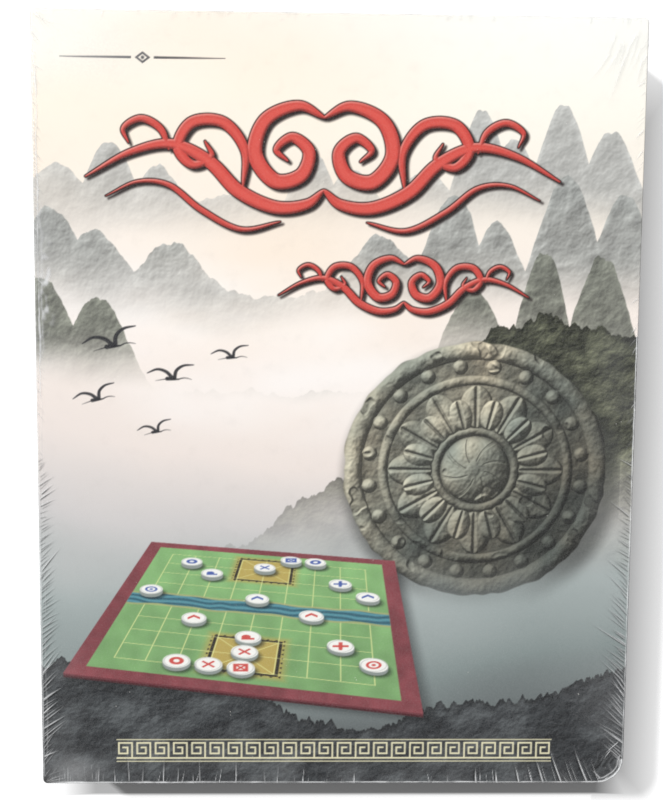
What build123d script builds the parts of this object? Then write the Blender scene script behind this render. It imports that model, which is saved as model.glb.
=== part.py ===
"""Boxed set for xiangqi (Chinese chess), packed flat: a lift-off-lid case in shrink film.

Inside lie a folding game board over a rules sheet, thirty-two round playing pieces stacked two
by two in a formed tray, and a book under the tray.

Millimetres, +Z up. The case lies on its back with its cover up and the cover's head towards +Y.
The origin is the middle of the underside. The cover's foot corner at +X, -Y has been knocked
round.
"""

from build123d import *
import math
import os

os.makedirs("parts", exist_ok=True)

# ---------------------------------------------------------------- driving dimensions
# The whole pack, outside to outside of its film.
case_width = 225.0
case_length = 290.0
case_depth = 32.0

# Sheet materials.
film_thickness = 0.05
film_slack = 0.3
paper_thickness = 0.15
greyboard_thickness = 1.8

# Case: lid over base, both of scored greyboard with printed paper turned in over the rims.
corner_radius = 2.0
knocked_corner_radius = 10.0
turn_in = 15.0
stay_thickness = 0.1
stay_reach = 18.0
lid_reveal = 3.0
telescope_gap = 0.6
base_film_height = 1.9

# Formed tray, with a well for the game board and round pockets for the pieces.
tray_gap = 0.5
tray_sheet = 0.6
tray_draft = 1.0
tray_land = 4.0
tray_edge_radius = 0.8
well_corner_radius = 2.0
thumb_radius = 17.0
thumb_depth = 11.0

# Playing pieces, packed in rows from the thumb recess to either end.
men_per_side = 16
disc_diameter = 24.0
disc_thickness = 4.0
disc_edge = 0.5
disc_gap = 0.4
disc_proud = 1.5
lid_headroom = 0.5

# Marks cut into the pieces' faces.
engraving_depth = 0.4
ring_radius = 9.8
line_width = 1.0
mark_size = 9.0

# Folding game board: two leaves of greyboard, printed inside, backed and hinged outside.
leaf_thickness = 2.0
leaf_gap = 0.75
fold_gap = 0.2
hinge_cloth_reach = 12.0

# Printed matter.
rules_sheet = 0.2
rules_fold_gap = 0.1
rules_gap = 8.0
book_thickness = 10.0
book_cover_thickness = 0.35
book_gap = 3.0

# ---------------------------------------------------------------- levels
film_top = case_depth
lid_paper_top = film_top - film_thickness - film_slack
lid_board_top = lid_paper_top - paper_thickness
case_ceiling = lid_board_top - greyboard_thickness
lid_rim = lid_reveal

base_paper_bottom = film_thickness
base_board_bottom = base_paper_bottom + paper_thickness
case_floor = base_board_bottom + greyboard_thickness
base_rim = case_ceiling

# ---------------------------------------------------------------- insets from the pack's outline
lid_paper_inset = film_thickness + film_slack
lid_board_inset = lid_paper_inset + paper_thickness
lid_hem_inset = lid_board_inset + greyboard_thickness + paper_thickness
base_paper_inset = lid_hem_inset + telescope_gap
base_board_inset = base_paper_inset + paper_thickness
base_hem_inset = base_board_inset + greyboard_thickness + paper_thickness
base_film_inset = base_paper_inset - film_thickness
tray_inset = base_hem_inset + tray_gap
book_inset = tray_inset + tray_sheet + book_gap

# Direction from the sound corner to the knocked one.
knocked_corner = Axis((0, 0, 0), (1, -1, 0))


def outline(height, inset, corner=0.0):
    """Plan of a case shell: a rectangle with three like corners and the knocked one."""
    with BuildSketch(Plane.XY.offset(height)) as plan:
        Rectangle(case_width - 2 * inset, case_length - 2 * inset)
        if corner > 0:
            fillet(plan.vertices().sort_by(knocked_corner)[:3], corner)
        if knocked_corner_radius > inset:
            fillet(plan.vertices().sort_by(knocked_corner)[-1], knocked_corner_radius - inset)
    return plan.sketch


def band(height, inset, corner, thickness):
    """Plan of a wall that follows the case all round."""
    with BuildSketch(Plane.XY.offset(height)) as plan:
        add(outline(0, inset, corner))
        add(outline(0, inset + thickness, max(corner - thickness, 0)), mode=Mode.SUBTRACT)
    return plan.sketch


def greyboard(inset, corner, shut, rim, stays):
    """Scored board: a closed panel at shut, walls to rim, pressed in under the corner stays."""
    inward = math.copysign(greyboard_thickness, rim - shut)
    with BuildPart() as board:
        extrude(outline(shut, inset, corner), amount=rim - shut)
        extrude(
            outline(shut + inward, inset + greyboard_thickness),
            amount=rim - shut - inward,
            mode=Mode.SUBTRACT,
        )
        add(stays, mode=Mode.SUBTRACT)
    return board.part


def corner_stays(inset, corner, shut, rim):
    """Four strips of paper tape that hold the board's corners, outside and flush."""
    wide, long = case_width, case_length
    with BuildPart() as tapes:
        extrude(band(shut, inset, corner, stay_thickness), amount=rim - shut)
        with Locations((0, 0, (shut + rim) / 2)):
            Box(wide - 2 * (inset + stay_reach), long, case_depth, mode=Mode.SUBTRACT)
            Box(wide, long - 2 * (inset + stay_reach), case_depth, mode=Mode.SUBTRACT)
    return tapes.part


def wrap(inset, corner, shut, rim):
    """Paper glued over a board shell: outside, over the rim, and turned in behind it."""
    side = math.copysign(1, rim - shut)
    board_shut = shut + side * paper_thickness
    board_rim = rim - side * paper_thickness
    hem_edge = rim - side * turn_in
    board_inset = inset + paper_thickness
    hem_inset = board_inset + greyboard_thickness + paper_thickness
    board_corner = corner - paper_thickness
    with BuildPart() as paper:
        extrude(outline(shut, inset, corner), amount=rim - shut)
        extrude(outline(board_shut, hem_inset), amount=rim - board_shut, mode=Mode.SUBTRACT)
        extrude(
            outline(board_shut, board_inset, board_corner),
            amount=hem_edge - board_shut,
            mode=Mode.SUBTRACT,
        )
        extrude(
            band(hem_edge, board_inset, board_corner, greyboard_thickness),
            amount=board_rim - hem_edge,
            mode=Mode.SUBTRACT,
        )
    return paper.part


def film_shell(inset, corner, shut, rim):
    """Shrunk film over one half of the case."""
    side = math.copysign(film_thickness, rim - shut)
    with BuildPart() as film:
        extrude(outline(shut, inset, corner), amount=rim - shut)
        extrude(
            outline(shut + side, inset + film_thickness, corner - film_thickness),
            amount=rim - shut - side,
            mode=Mode.SUBTRACT,
        )
    return film.part


# ---------------------------------------------------------------- lid
lid_board_corner = corner_radius - lid_board_inset
lid_board_rim = lid_rim + paper_thickness

with BuildPart() as lid_corner_stays:
    add(corner_stays(lid_board_inset, lid_board_corner, lid_board_top, lid_board_rim))
lid_corner_stays.part.label = "lid_corner_stays"
export_step(lid_corner_stays.part, "parts/lid_corner_stays.step")

with BuildPart() as lid_board:
    add(
        greyboard(
            lid_board_inset,
            lid_board_corner,
            lid_board_top,
            lid_board_rim,
            lid_corner_stays.part,
        )
    )
lid_board.part.label = "lid_board"
export_step(lid_board.part, "parts/lid_board.step")

with BuildPart() as lid_wrap:
    add(wrap(lid_paper_inset, corner_radius - lid_paper_inset, lid_paper_top, lid_rim))
lid_wrap.part.label = "lid_wrap"
export_step(lid_wrap.part, "parts/lid_wrap.step")

with BuildPart() as lid_film:
    add(film_shell(0, corner_radius, film_top, lid_rim))
lid_film.part.label = "lid_film"
export_step(lid_film.part, "parts/lid_film.step")

# ---------------------------------------------------------------- base
base_paper_corner = corner_radius - lid_board_inset
base_board_corner = base_paper_corner - paper_thickness
base_board_rim = base_rim - paper_thickness

with BuildPart() as base_corner_stays:
    add(corner_stays(base_board_inset, base_board_corner, base_board_bottom, base_board_rim))
base_corner_stays.part.label = "base_corner_stays"
export_step(base_corner_stays.part, "parts/base_corner_stays.step")

with BuildPart() as base_board:
    add(
        greyboard(
            base_board_inset,
            base_board_corner,
            base_board_bottom,
            base_board_rim,
            base_corner_stays.part,
        )
    )
base_board.part.label = "base_board"
export_step(base_board.part, "parts/base_board.step")

with BuildPart() as base_wrap:
    add(wrap(base_paper_inset, base_paper_corner, base_paper_bottom, base_rim))
base_wrap.part.label = "base_wrap"
export_step(base_wrap.part, "parts/base_wrap.step")

with BuildPart() as base_film:
    add(film_shell(base_film_inset, base_paper_corner + film_thickness, 0, base_film_height))
base_film.part.label = "base_film"
export_step(base_film.part, "parts/base_film.step")

# ---------------------------------------------------------------- tray layout
disc_radius = disc_diameter / 2
disc_stack_top = case_ceiling - lid_headroom
deck = disc_stack_top - disc_proud
pocket_floor = disc_stack_top - 2 * disc_thickness
thumb_floor = deck - thumb_depth
folded_board = 2 * (leaf_thickness + 2 * paper_thickness) + fold_gap
folded_rules = 2 * rules_sheet + rules_fold_gap
well_floor = deck - folded_board - folded_rules


def spread(depth):
    """How far a drafted wall moves over in the given depth."""
    return depth * math.tan(math.radians(tray_draft))


pocket_floor_radius = disc_radius + disc_gap
pocket_mouth_radius = pocket_floor_radius + spread(deck - pocket_floor)
thumb_mouth_radius = thumb_radius + spread(thumb_depth)
deck_half_width = case_width / 2 - tray_inset - spread(deck - case_floor)
deck_half_length = case_length / 2 - tray_inset - spread(deck - case_floor)

# As many rows as fit between the thumb recess and either end, then columns to hold the men.
closest_pitch = 2 * pocket_mouth_radius + tray_land
row_run = deck_half_length - thumb_mouth_radius - tray_land
rows_each_way = int(row_run // closest_pitch)
pocket_columns = math.ceil(men_per_side / (2 * rows_each_way))

outer_column = deck_half_width - tray_land - pocket_mouth_radius
inner_column = outer_column - (pocket_columns - 1) * closest_pitch
columns = [outer_column - closest_pitch * step for step in range(pocket_columns)]

first_row = thumb_mouth_radius + tray_land + pocket_mouth_radius
last_row = deck_half_length - tray_land - pocket_mouth_radius
row_pitch = (last_row - first_row) / (rows_each_way - 1)
rows = [last_row - row_pitch * step for step in range(rows_each_way)]
rows += [-row for row in reversed(rows)]
pocket_places = [(column, row) for row in rows for column in reversed(columns)]

well_draft = spread(deck - well_floor)
well_left = -deck_half_width + tray_land + well_draft
well_right = inner_column - pocket_mouth_radius - tray_land - well_draft
well_width = well_right - well_left
well_length = 2 * (deck_half_length - tray_land - well_draft)
well_middle = (well_left + well_right) / 2


def tray_block(skin):
    """The body bounded by the tray's show side, drawn in all over by skin."""
    top = deck - skin
    with BuildPart() as block:
        extrude(
            outline(case_floor, tray_inset + skin),
            amount=top - case_floor,
            taper=tray_draft,
        )
        with BuildSketch(Plane.XY.offset(well_floor - skin)):
            with Locations((well_middle, 0)):
                RectangleRounded(
                    well_width + 2 * skin, well_length + 2 * skin, well_corner_radius + skin
                )
        extrude(amount=top - well_floor + skin, taper=-tray_draft, mode=Mode.SUBTRACT)
        with BuildSketch(Plane.XY.offset(pocket_floor - skin)):
            with Locations(*pocket_places):
                Circle(pocket_floor_radius + skin)
        extrude(amount=top - pocket_floor + skin, taper=-tray_draft, mode=Mode.SUBTRACT)
        with BuildSketch(Plane.XY.offset(thumb_floor - skin)):
            with Locations((well_right, 0)):
                Circle(thumb_radius + skin)
        extrude(amount=top - thumb_floor + skin, taper=-tray_draft, mode=Mode.SUBTRACT)
    return block


# ---------------------------------------------------------------- tray
tray_show_side = tray_block(0)
tray_underside = tray_block(tray_sheet)

with BuildPart() as insert_tray:
    add(tray_show_side.part)
    fillet(insert_tray.edges().group_by(Axis.Z)[-1], tray_edge_radius)
    add(tray_underside.part, mode=Mode.SUBTRACT)
insert_tray.part.label = "insert_tray"
export_step(insert_tray.part, "parts/insert_tray.step")

# ---------------------------------------------------------------- rules sheet
rules_width = well_width - 2 * rules_gap
rules_length = well_length - 2 * rules_gap

with BuildPart() as rules_leaflet:
    with BuildSketch(Plane.XZ) as folded_sheet:
        with Locations((well_middle, well_floor)):
            Rectangle(rules_width, folded_rules, align=(Align.CENTER, Align.MIN))
        with Locations((well_middle + rules_sheet, well_floor + rules_sheet)):
            Rectangle(
                rules_width, rules_fold_gap, align=(Align.CENTER, Align.MIN), mode=Mode.SUBTRACT
            )
    extrude(amount=rules_length / 2, both=True)
rules_leaflet.part.label = "rules_leaflet"
export_step(rules_leaflet.part, "parts/rules_leaflet.step")

# ---------------------------------------------------------------- game board
board_bottom = well_floor + folded_rules
board_left = well_left + leaf_gap
board_right = well_right - leaf_gap
fold_line = board_left + paper_thickness
leaf_edge = fold_line + fold_gap / 2
leaf_width = board_right - leaf_edge
leaf_length = well_length - 2 * leaf_gap
board_middle = board_bottom + folded_board / 2
cloth_edge = leaf_edge + hinge_cloth_reach


def slab(low_x, high_x, length, low_z, high_z, mode=Mode.ADD):
    """A flat sheet between two X and two Z values, centred on Y."""
    with Locations(((low_x + high_x) / 2, 0, (low_z + high_z) / 2)):
        Box(high_x - low_x, length, high_z - low_z, mode=mode)


# Each leaf is built outwards from the fold: printed face, greyboard core, backing.
for leaf, outward in (("lower", -1), ("upper", 1)):
    face_inner = board_middle + outward * fold_gap / 2
    core_inner = face_inner + outward * paper_thickness
    core_outer = core_inner + outward * leaf_thickness
    back_outer = core_outer + outward * paper_thickness
    core_levels = sorted((core_inner, core_outer))

    with BuildPart() as board_face:
        slab(leaf_edge, board_right, leaf_length, *sorted((face_inner, core_inner)))
    board_face.part.label = f"board_face_{leaf}"
    export_step(board_face.part, f"parts/board_face_{leaf}.step")

    core_length = leaf_length - 2 * paper_thickness
    with BuildPart() as board_core:
        slab(leaf_edge, board_right - paper_thickness, core_length, *core_levels)
    board_core.part.label = f"board_core_{leaf}"
    export_step(board_core.part, f"parts/board_core_{leaf}.step")

    # The backing turns up over the leaf's three outer edges and stops at the hinge cloth.
    with BuildPart() as board_back:
        slab(leaf_edge, board_right, leaf_length, *sorted((core_inner, back_outer)))
        slab(
            leaf_edge,
            board_right - paper_thickness,
            core_length,
            *core_levels,
            mode=Mode.SUBTRACT,
        )
        slab(
            leaf_edge, cloth_edge, leaf_length, *sorted((core_outer, back_outer)), Mode.SUBTRACT
        )
    board_back.part.label = f"board_back_{leaf}"
    export_step(board_back.part, f"parts/board_back_{leaf}.step")

with BuildPart() as board_hinge_cloth:
    slab(board_left, cloth_edge, leaf_length, board_bottom, board_bottom + folded_board)
    slab(
        fold_line,
        cloth_edge,
        leaf_length,
        board_bottom + paper_thickness,
        board_bottom + folded_board - paper_thickness,
        mode=Mode.SUBTRACT,
    )
board_hinge_cloth.part.label = "board_hinge_cloth"
export_step(board_hinge_cloth.part, "parts/board_hinge_cloth.step")

# ---------------------------------------------------------------- book
book_width = case_width - 2 * book_inset
book_length = case_length - 2 * book_inset
book_spine = -book_width / 2
pages_low = case_floor + book_cover_thickness
pages_high = case_floor + book_thickness - book_cover_thickness

with BuildPart() as book_cover:
    slab(book_spine, -book_spine, book_length, case_floor, case_floor + book_thickness)
    slab(
        book_spine + book_cover_thickness,
        -book_spine,
        book_length,
        pages_low,
        pages_high,
        mode=Mode.SUBTRACT,
    )
book_cover.part.label = "book_cover"
export_step(book_cover.part, "parts/book_cover.step")

with BuildPart() as book_pages:
    slab(book_spine + book_cover_thickness, -book_spine, book_length, pages_low, pages_high)
book_pages.part.label = "book_pages"
export_step(book_pages.part, "parts/book_pages.step")

# ---------------------------------------------------------------- marks on the pieces
diagonal = math.hypot(mark_size, mark_size) - line_width


def bar(length, angle=0.0, centre=(0, 0)):
    """One straight cut of a mark."""
    with Locations(centre):
        Rectangle(length, line_width, rotation=angle)


def frame(size):
    """A square frame, one line wide."""
    Rectangle(size, size)
    Rectangle(size - 2 * line_width, size - 2 * line_width, mode=Mode.SUBTRACT)


def general_mark():
    """The palace: a square crossed by its diagonals."""
    frame(mark_size)
    bar(diagonal, 45)
    bar(diagonal, -45)


def advisor_mark():
    """One step along either diagonal."""
    bar(mark_size, 45)
    bar(mark_size, -45)


def elephant_mark():
    """The four points two steps off along the diagonals."""
    frame(mark_size / 3)
    with GridLocations(mark_size, mark_size, 2, 2):
        Circle(line_width)


def horse_mark():
    """Two steps and one across."""
    bar(mark_size, 90, (-mark_size / 4, 0))
    bar(mark_size / 2, 0, (0, (mark_size - line_width) / 2))


def chariot_mark():
    """Straight along file and rank."""
    bar(mark_size)
    bar(mark_size, 90)


def cannon_mark():
    """A muzzle, seen from the front."""
    Circle(mark_size / 2)
    Circle(mark_size / 2 - line_width, mode=Mode.SUBTRACT)
    Circle(line_width)


def soldier_mark():
    """One step ahead."""
    RegularPolygon(mark_size / 2, 3, rotation=90)
    RegularPolygon(mark_size / 2 - 2 * line_width, 3, rotation=90, mode=Mode.SUBTRACT)


# ---------------------------------------------------------------- playing pieces
# Men of one rank, how many of them each side has, and their mark, in the order they are packed.
army = (
    ("chariots", 2, chariot_mark),
    ("horses", 2, horse_mark),
    ("elephants", 2, elephant_mark),
    ("advisors", 2, advisor_mark),
    ("general", 1, general_mark),
    ("cannons", 2, cannon_mark),
    ("soldiers", 5, soldier_mark),
)

# Each pocket holds a blue piece with a red one on it.
for side, seat in (("blue", pocket_floor), ("red", pocket_floor + disc_thickness)):
    packed = 0
    for rank, count, draw_mark in army:
        places = pocket_places[packed : packed + count]
        packed += count
        with BuildPart() as discs:
            with BuildSketch(Plane.XY.offset(seat)):
                with Locations(*places):
                    Circle(disc_radius)
            extrude(amount=disc_thickness)
            fillet(discs.edges(), disc_edge)
            with BuildSketch(Plane.XY.offset(seat + disc_thickness)):
                with Locations(*places):
                    Circle(ring_radius)
                    Circle(ring_radius - line_width, mode=Mode.SUBTRACT)
                    draw_mark()
            extrude(amount=-engraving_depth, mode=Mode.SUBTRACT)
        discs.part.label = f"{side}_{rank}"
        export_step(discs.part, f"parts/{discs.part.label}.step")
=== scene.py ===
import bpy
import numpy as np
from mathutils import Matrix, Vector


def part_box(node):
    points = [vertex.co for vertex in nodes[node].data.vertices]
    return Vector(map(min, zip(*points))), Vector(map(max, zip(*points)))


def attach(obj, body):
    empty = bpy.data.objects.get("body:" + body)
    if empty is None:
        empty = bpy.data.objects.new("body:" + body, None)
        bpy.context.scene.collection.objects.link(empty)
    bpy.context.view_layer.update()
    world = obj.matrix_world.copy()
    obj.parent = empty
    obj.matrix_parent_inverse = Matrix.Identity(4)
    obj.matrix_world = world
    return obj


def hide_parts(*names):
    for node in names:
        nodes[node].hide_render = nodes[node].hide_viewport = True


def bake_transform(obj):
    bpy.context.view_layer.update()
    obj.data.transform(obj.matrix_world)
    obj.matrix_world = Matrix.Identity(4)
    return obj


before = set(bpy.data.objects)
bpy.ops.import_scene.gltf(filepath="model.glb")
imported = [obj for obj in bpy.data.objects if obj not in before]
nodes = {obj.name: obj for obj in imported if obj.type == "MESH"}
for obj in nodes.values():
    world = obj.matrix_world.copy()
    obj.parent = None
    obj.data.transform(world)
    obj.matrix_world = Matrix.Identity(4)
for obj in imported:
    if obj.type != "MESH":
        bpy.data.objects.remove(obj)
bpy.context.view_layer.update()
MM = 0.001

# The case, in millimetres, as the CAD has it.
CASE_W, CASE_L, CASE_H = 225.0, 290.0, 32.0
LID_RIM = 3.0
PAPER_INSET, PAPER_TOP = 0.35, 31.65
FOLD = 0.45                # how far the cover paper's folds are eased
CORNER, KNOCKED = 2.0, 10.0
SIDE = PAPER_TOP - LID_RIM
TURNED_IN = 18.0           # of the sheet, round the rim and up inside the lid

# ---------------------------------------------------------------- printed sheet
# The cover print is painted on the whole flat sheet, top and sides, in mm from its middle.
DOT = 0.3      # mm between the points that carry the print
FINE = 2                              # each point is averaged from this many samples each way
STEP = DOT / FINE
COVER_W, COVER_L = CASE_W - 2 * PAPER_INSET, CASE_L - 2 * PAPER_INSET


def centres(length):
    """Where the sheet's samples lie along one of its sides."""
    count = int(round(length / STEP))
    return (np.arange(count) + 0.5 - count / 2) * STEP


PX, PY = (centres(size + 2 * (SIDE + TURNED_IN)) for size in (COVER_W, COVER_L))


def smooth(t):
    """0 to 1, eased at both ends."""
    t = np.clip(t, 0.0, 1.0)
    return t * t * (3.0 - 2.0 * t)


def ramp(value, low, high):
    return smooth((value - low) / (high - low))


def spline_taps(places, cell):
    """Where each place reads a lattice of the given cell, and its four cubic B-spline weights."""
    t = (places + 400.0) / cell
    first, f = np.floor(t).astype(int) - 1, (t - np.floor(t)).astype(np.float32)
    weights = np.stack([(1 - f) ** 3, 3 * f**3 - 6 * f**2 + 4, -3 * f**3 + 3 * f**2 + 3 * f + 1, f**3]) / 6
    return first - first[0], weights, first[0], first[-1] - first[0] + 4


def knots(seed, rows, row_base, cols, col_base):
    """Random numbers that stay the same whichever part of the sheet asks for them."""
    j = (np.arange(rows) + row_base)[:, None].astype(np.uint64)
    i = (np.arange(cols) + col_base)[None, :].astype(np.uint64)
    h = j * np.uint64(0x9E3779B97F4A7C15) ^ i * np.uint64(0xC2B2AE3D27D4EB4F)
    h = h ^ np.uint64(seed * 0x165667B19E3779F9 % 2**63)
    for shift, factor in ((29, 0xBF58476D1CE4E5B9), (32, 0x94D049BB133111EB)):
        h = (h ^ (h >> np.uint64(shift))) * np.uint64(factor)
    return ((h >> np.uint64(40)).astype(np.float32) / 2**23) - 1


def noise(cell, seed, stretch=1.0, xs=None, ys=None):
    """Smooth noise, about -1 to 1, over the sheet; stretch makes it that much wider than tall."""
    i, across, left, width = spline_taps(PX if xs is None else xs, cell * stretch)
    j, down, foot, height = spline_taps(PY if ys is None else ys, cell)
    grid = 1.9 * knots(seed, height, foot, width, left)
    bands = sum(down[k][:, None] * grid[j + k] for k in range(4))
    return sum(across[k] * bands[:, i + k] for k in range(4))


def clouds(cell, seed, octaves, stretch=1.0, gain=0.55, ys=None):
    """Noise in several sizes, each half as wide as the one before."""
    return sum(gain**k * noise(cell / 2**k, seed + k, stretch, ys=ys) for k in range(octaves))


def ragged(cell, seed, octaves=5, gain=0.5):
    """The same along one line, for skylines."""
    return clouds(cell, seed, octaves, 1.0, gain, ys=np.array([float(seed)]))[0]


def rgb(code):
    return np.array([int(code[i:i + 2], 16) / 255 for i in (0, 2, 4)], np.float32)


def mixed(low, high, share):
    """Tones from one colour to another, for each place."""
    return rgb(low) + (rgb(high) - rgb(low)) * share[..., None]


def linear(tone):
    """Screen values as the renderer counts light."""
    return np.where(tone <= 0.04045, tone / 12.92, ((tone + 0.055) / 1.055) ** 2.4)


class Sheet:
    """The colours of the printed sheet, painted layer over layer."""

    def __init__(self):
        self.ink = np.ones((len(PY), len(PX), 3), np.float32)

    def lay(self, colour, amount, rows=slice(None), cols=slice(None)):
        """Colour (a code or an array) over part of the sheet, as much as amount says."""
        colour = rgb(colour) if isinstance(colour, str) else colour
        patch = self.ink[rows, cols]
        patch += (colour - patch) * np.asarray(amount, np.float32)[..., None]


def strip(low, high):
    """Rows of the sheet between two heights, and those heights."""
    rows = slice(*np.searchsorted(PY, (low, high)))
    return rows, PY[rows]


def window(low_x, high_x, low_y, high_y):
    """Rows and columns of the sheet in a box, with their coordinates."""
    cols = slice(*np.searchsorted(PX, (low_x, high_x)))
    rows = slice(*np.searchsorted(PY, (low_y, high_y)))
    return rows, cols, *np.meshgrid(PX[cols], PY[rows])


# ---------------------------------------------------------------- landscape
def sky(sheet):
    """Dark at the foot of the cover, through grey mist, to cream at its head."""
    up = (PY / COVER_L + 0.5)[:, None] + 0.05 * clouds(70, 11, 4, 2.0)
    stops = (
        (0.00, "45484B"), (0.09, "5E6364"), (0.19, "85908F"), (0.29, "A6AFAE"), (0.39, "CFCCCB"),
        (0.49, "ECE2DC"), (0.62, "F8EEE6"), (0.74, "FBF2E6"), (0.86, "FFFBF0"), (1.00, "FFFFFA"),
    )
    tones = np.array([rgb(c) for _, c in stops])
    for band in range(3):
        sheet.ink[..., band] = np.interp(up, [s for s, _ in stops], tones[:, band])
    peach = 0.42 * ramp(clouds(90, 21, 4, 1.8), -0.2, 1.2) * ramp(up, 0.45, 0.8)
    sheet.lay("FADFC4", peach * ramp(-PX, -85, 45))
    sheet.lay("FFFFFF", 0.7 * ramp(clouds(60, 31, 5, 2.2), 0.0, 1.3) * ramp(up, 0.35, 0.7))


def bumps(peaks, floor):
    """Skyline of steep rounded hills on a low floor, each (centre, top, half width)."""
    line = np.full(len(PX), floor, np.float32)
    for centre, top, half in peaks:
        hill = (1 - smooth((np.abs((PX - centre) / half) - 0.05) / 1.5)) ** 1.15
        line = np.maximum(line, floor + (top - floor) * hill)
    return line


def hillshade(cell, seed, octaves, stretch, relief, ys):
    """Light and dark of rough ground lit from the upper left, about 1."""
    down, along = np.gradient(clouds(cell, seed, octaves, stretch, ys=ys), STEP)
    return 1 + relief * (along * 0.6 - down * 0.8)


def ridge(sheet, line, colour, mist, seed, strength, relief):
    """One far range: clear at its tops, lost in mist between two heights."""
    rows, ys = strip(mist[0] - 16, line.max() + 0.5)
    fall = line[None, :] - ys[:, None]
    veil = ramp(ys[:, None] + 5 * clouds(22, seed + 90, 3, 2.0, ys=ys), *mist)
    tone = rgb(colour) * hillshade(9, seed, 5, 1.0, relief, ys)[..., None]
    tone *= (1 - 0.10 * ramp(fall, 0, 6))[..., None]
    sheet.lay(np.clip(tone, 0, 1), strength * ramp(fall, -0.12, 0.12) * veil, rows)


def wooded(sheet, line, dark, light, mist, seed, strength):
    """A nearer slope with trees: dark crowns with lighter tops."""
    rows, ys = strip(max(mist[0] - 22, PY[0] - 1), line.max() + 0.5)
    fall = line[None, :] - ys[:, None]
    veil = ramp(ys[:, None] + 7 * clouds(26, seed + 91, 3, 1.6, ys=ys), *mist)
    crowns = hillshade(2.2, seed, 4, 1.2, 0.28, ys)
    slopes = hillshade(24, seed + 7, 3, 1.0, 1.6, ys)
    clumps = ramp(clouds(5, seed + 5, 3, 1.4, ys=ys), -0.5, 0.9)
    mix = np.clip(0.30 + 0.9 * (crowns - 1) + 0.6 * (slopes - 1) + 0.4 * clumps, 0, 1)
    tone = mixed(dark, light, mix)
    tone *= (0.72 + 0.28 * ramp(fall, 0, 3))[..., None]
    sheet.lay(tone, strength * ramp(fall, -0.12, 0.12) * veil, rows)


def treetops(seed, height):
    """Small sharp crowns along a skyline."""
    return height * np.abs(ragged(3.2, seed, 4, 0.6))


def landscape(sheet):
    """Three ranges of karst hills in mist, a wooded hill at the right and a wooded foot."""
    sky(sheet)
    far = bumps([(-132, 96, 18), (-104, 88, 17), (-84, 99, 12), (-67, 90, 12), (-40, 80, 22), (-10, 97, 11),
                 (4, 90, 13), (30, 86, 18), (52, 110, 12), (64, 100, 12), (82, 114, 13), (100, 104, 14),
                 (130, 92, 18)], 70)
    ridge(sheet, far + 1.6 * ragged(9, 301) + 0.5 * ragged(1.8, 311, 3), "B9BBB9", (58, 92), 41, 0.8, 0.3)
    second = bumps([(-130, 60, 16), (-106, 74, 15), (-90, 66, 15), (-62, 62, 16), (16, 64, 16), (42, 80, 13),
                    (58, 70, 12), (84, 88, 14), (106, 80, 14), (134, 66, 15)], 44)
    ridge(sheet, second + 1.8 * ragged(8, 302) + 0.6 * ragged(1.5, 312, 3), "A2A5A2", (34, 66), 42,
          0.85, 0.45)
    third = bumps([(-112, 50, 20), (-90, 40, 16), (50, 44, 16), (76, 60, 13), (98, 56, 16), (134, 48, 18)], 6)
    ridge(sheet, third + 1.4 * ragged(8, 303) + treetops(313, 1.3), "7A7D72", (6, 36), 43, 0.9, 0.6)
    # A long wooded hill comes down from the right.
    hill = np.interp(PX, [-112, -60, -30, 0, 28, 52, 76, 96, 112], [-74, -66, -48, -26, 0, 24, 38, 33, 28])
    wooded(sheet, hill + 2.2 * ragged(10, 304) + treetops(314, 2.0), "1F211B", "80836B", (-66, -4), 51, 0.95)
    # A dark wooded foot closes the picture.
    foot = np.interp(PX, [-112, -86, -60, -30, 0, 40, 80, 112],
                     [-98, -92, -102, -114, -122, -118, -110, -100])
    wooded(sheet, foot + 2.5 * ragged(12, 305) + treetops(315, 3.0), "1B1D20", "5C6062", (-260, -160), 52,
           0.96)


# ---------------------------------------------------------------- drawn things
def around(x, y, wide, tall):
    """The window of the sheet that reaches so far each way from a place."""
    return window(x - wide, x + wide, y - tall, y + tall)


def own_noise(rows, cols):
    """Noise over part of the sheet only."""
    return lambda cell, seed: noise(cell, seed, 1.0, PX[cols], PY[rows])


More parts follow.
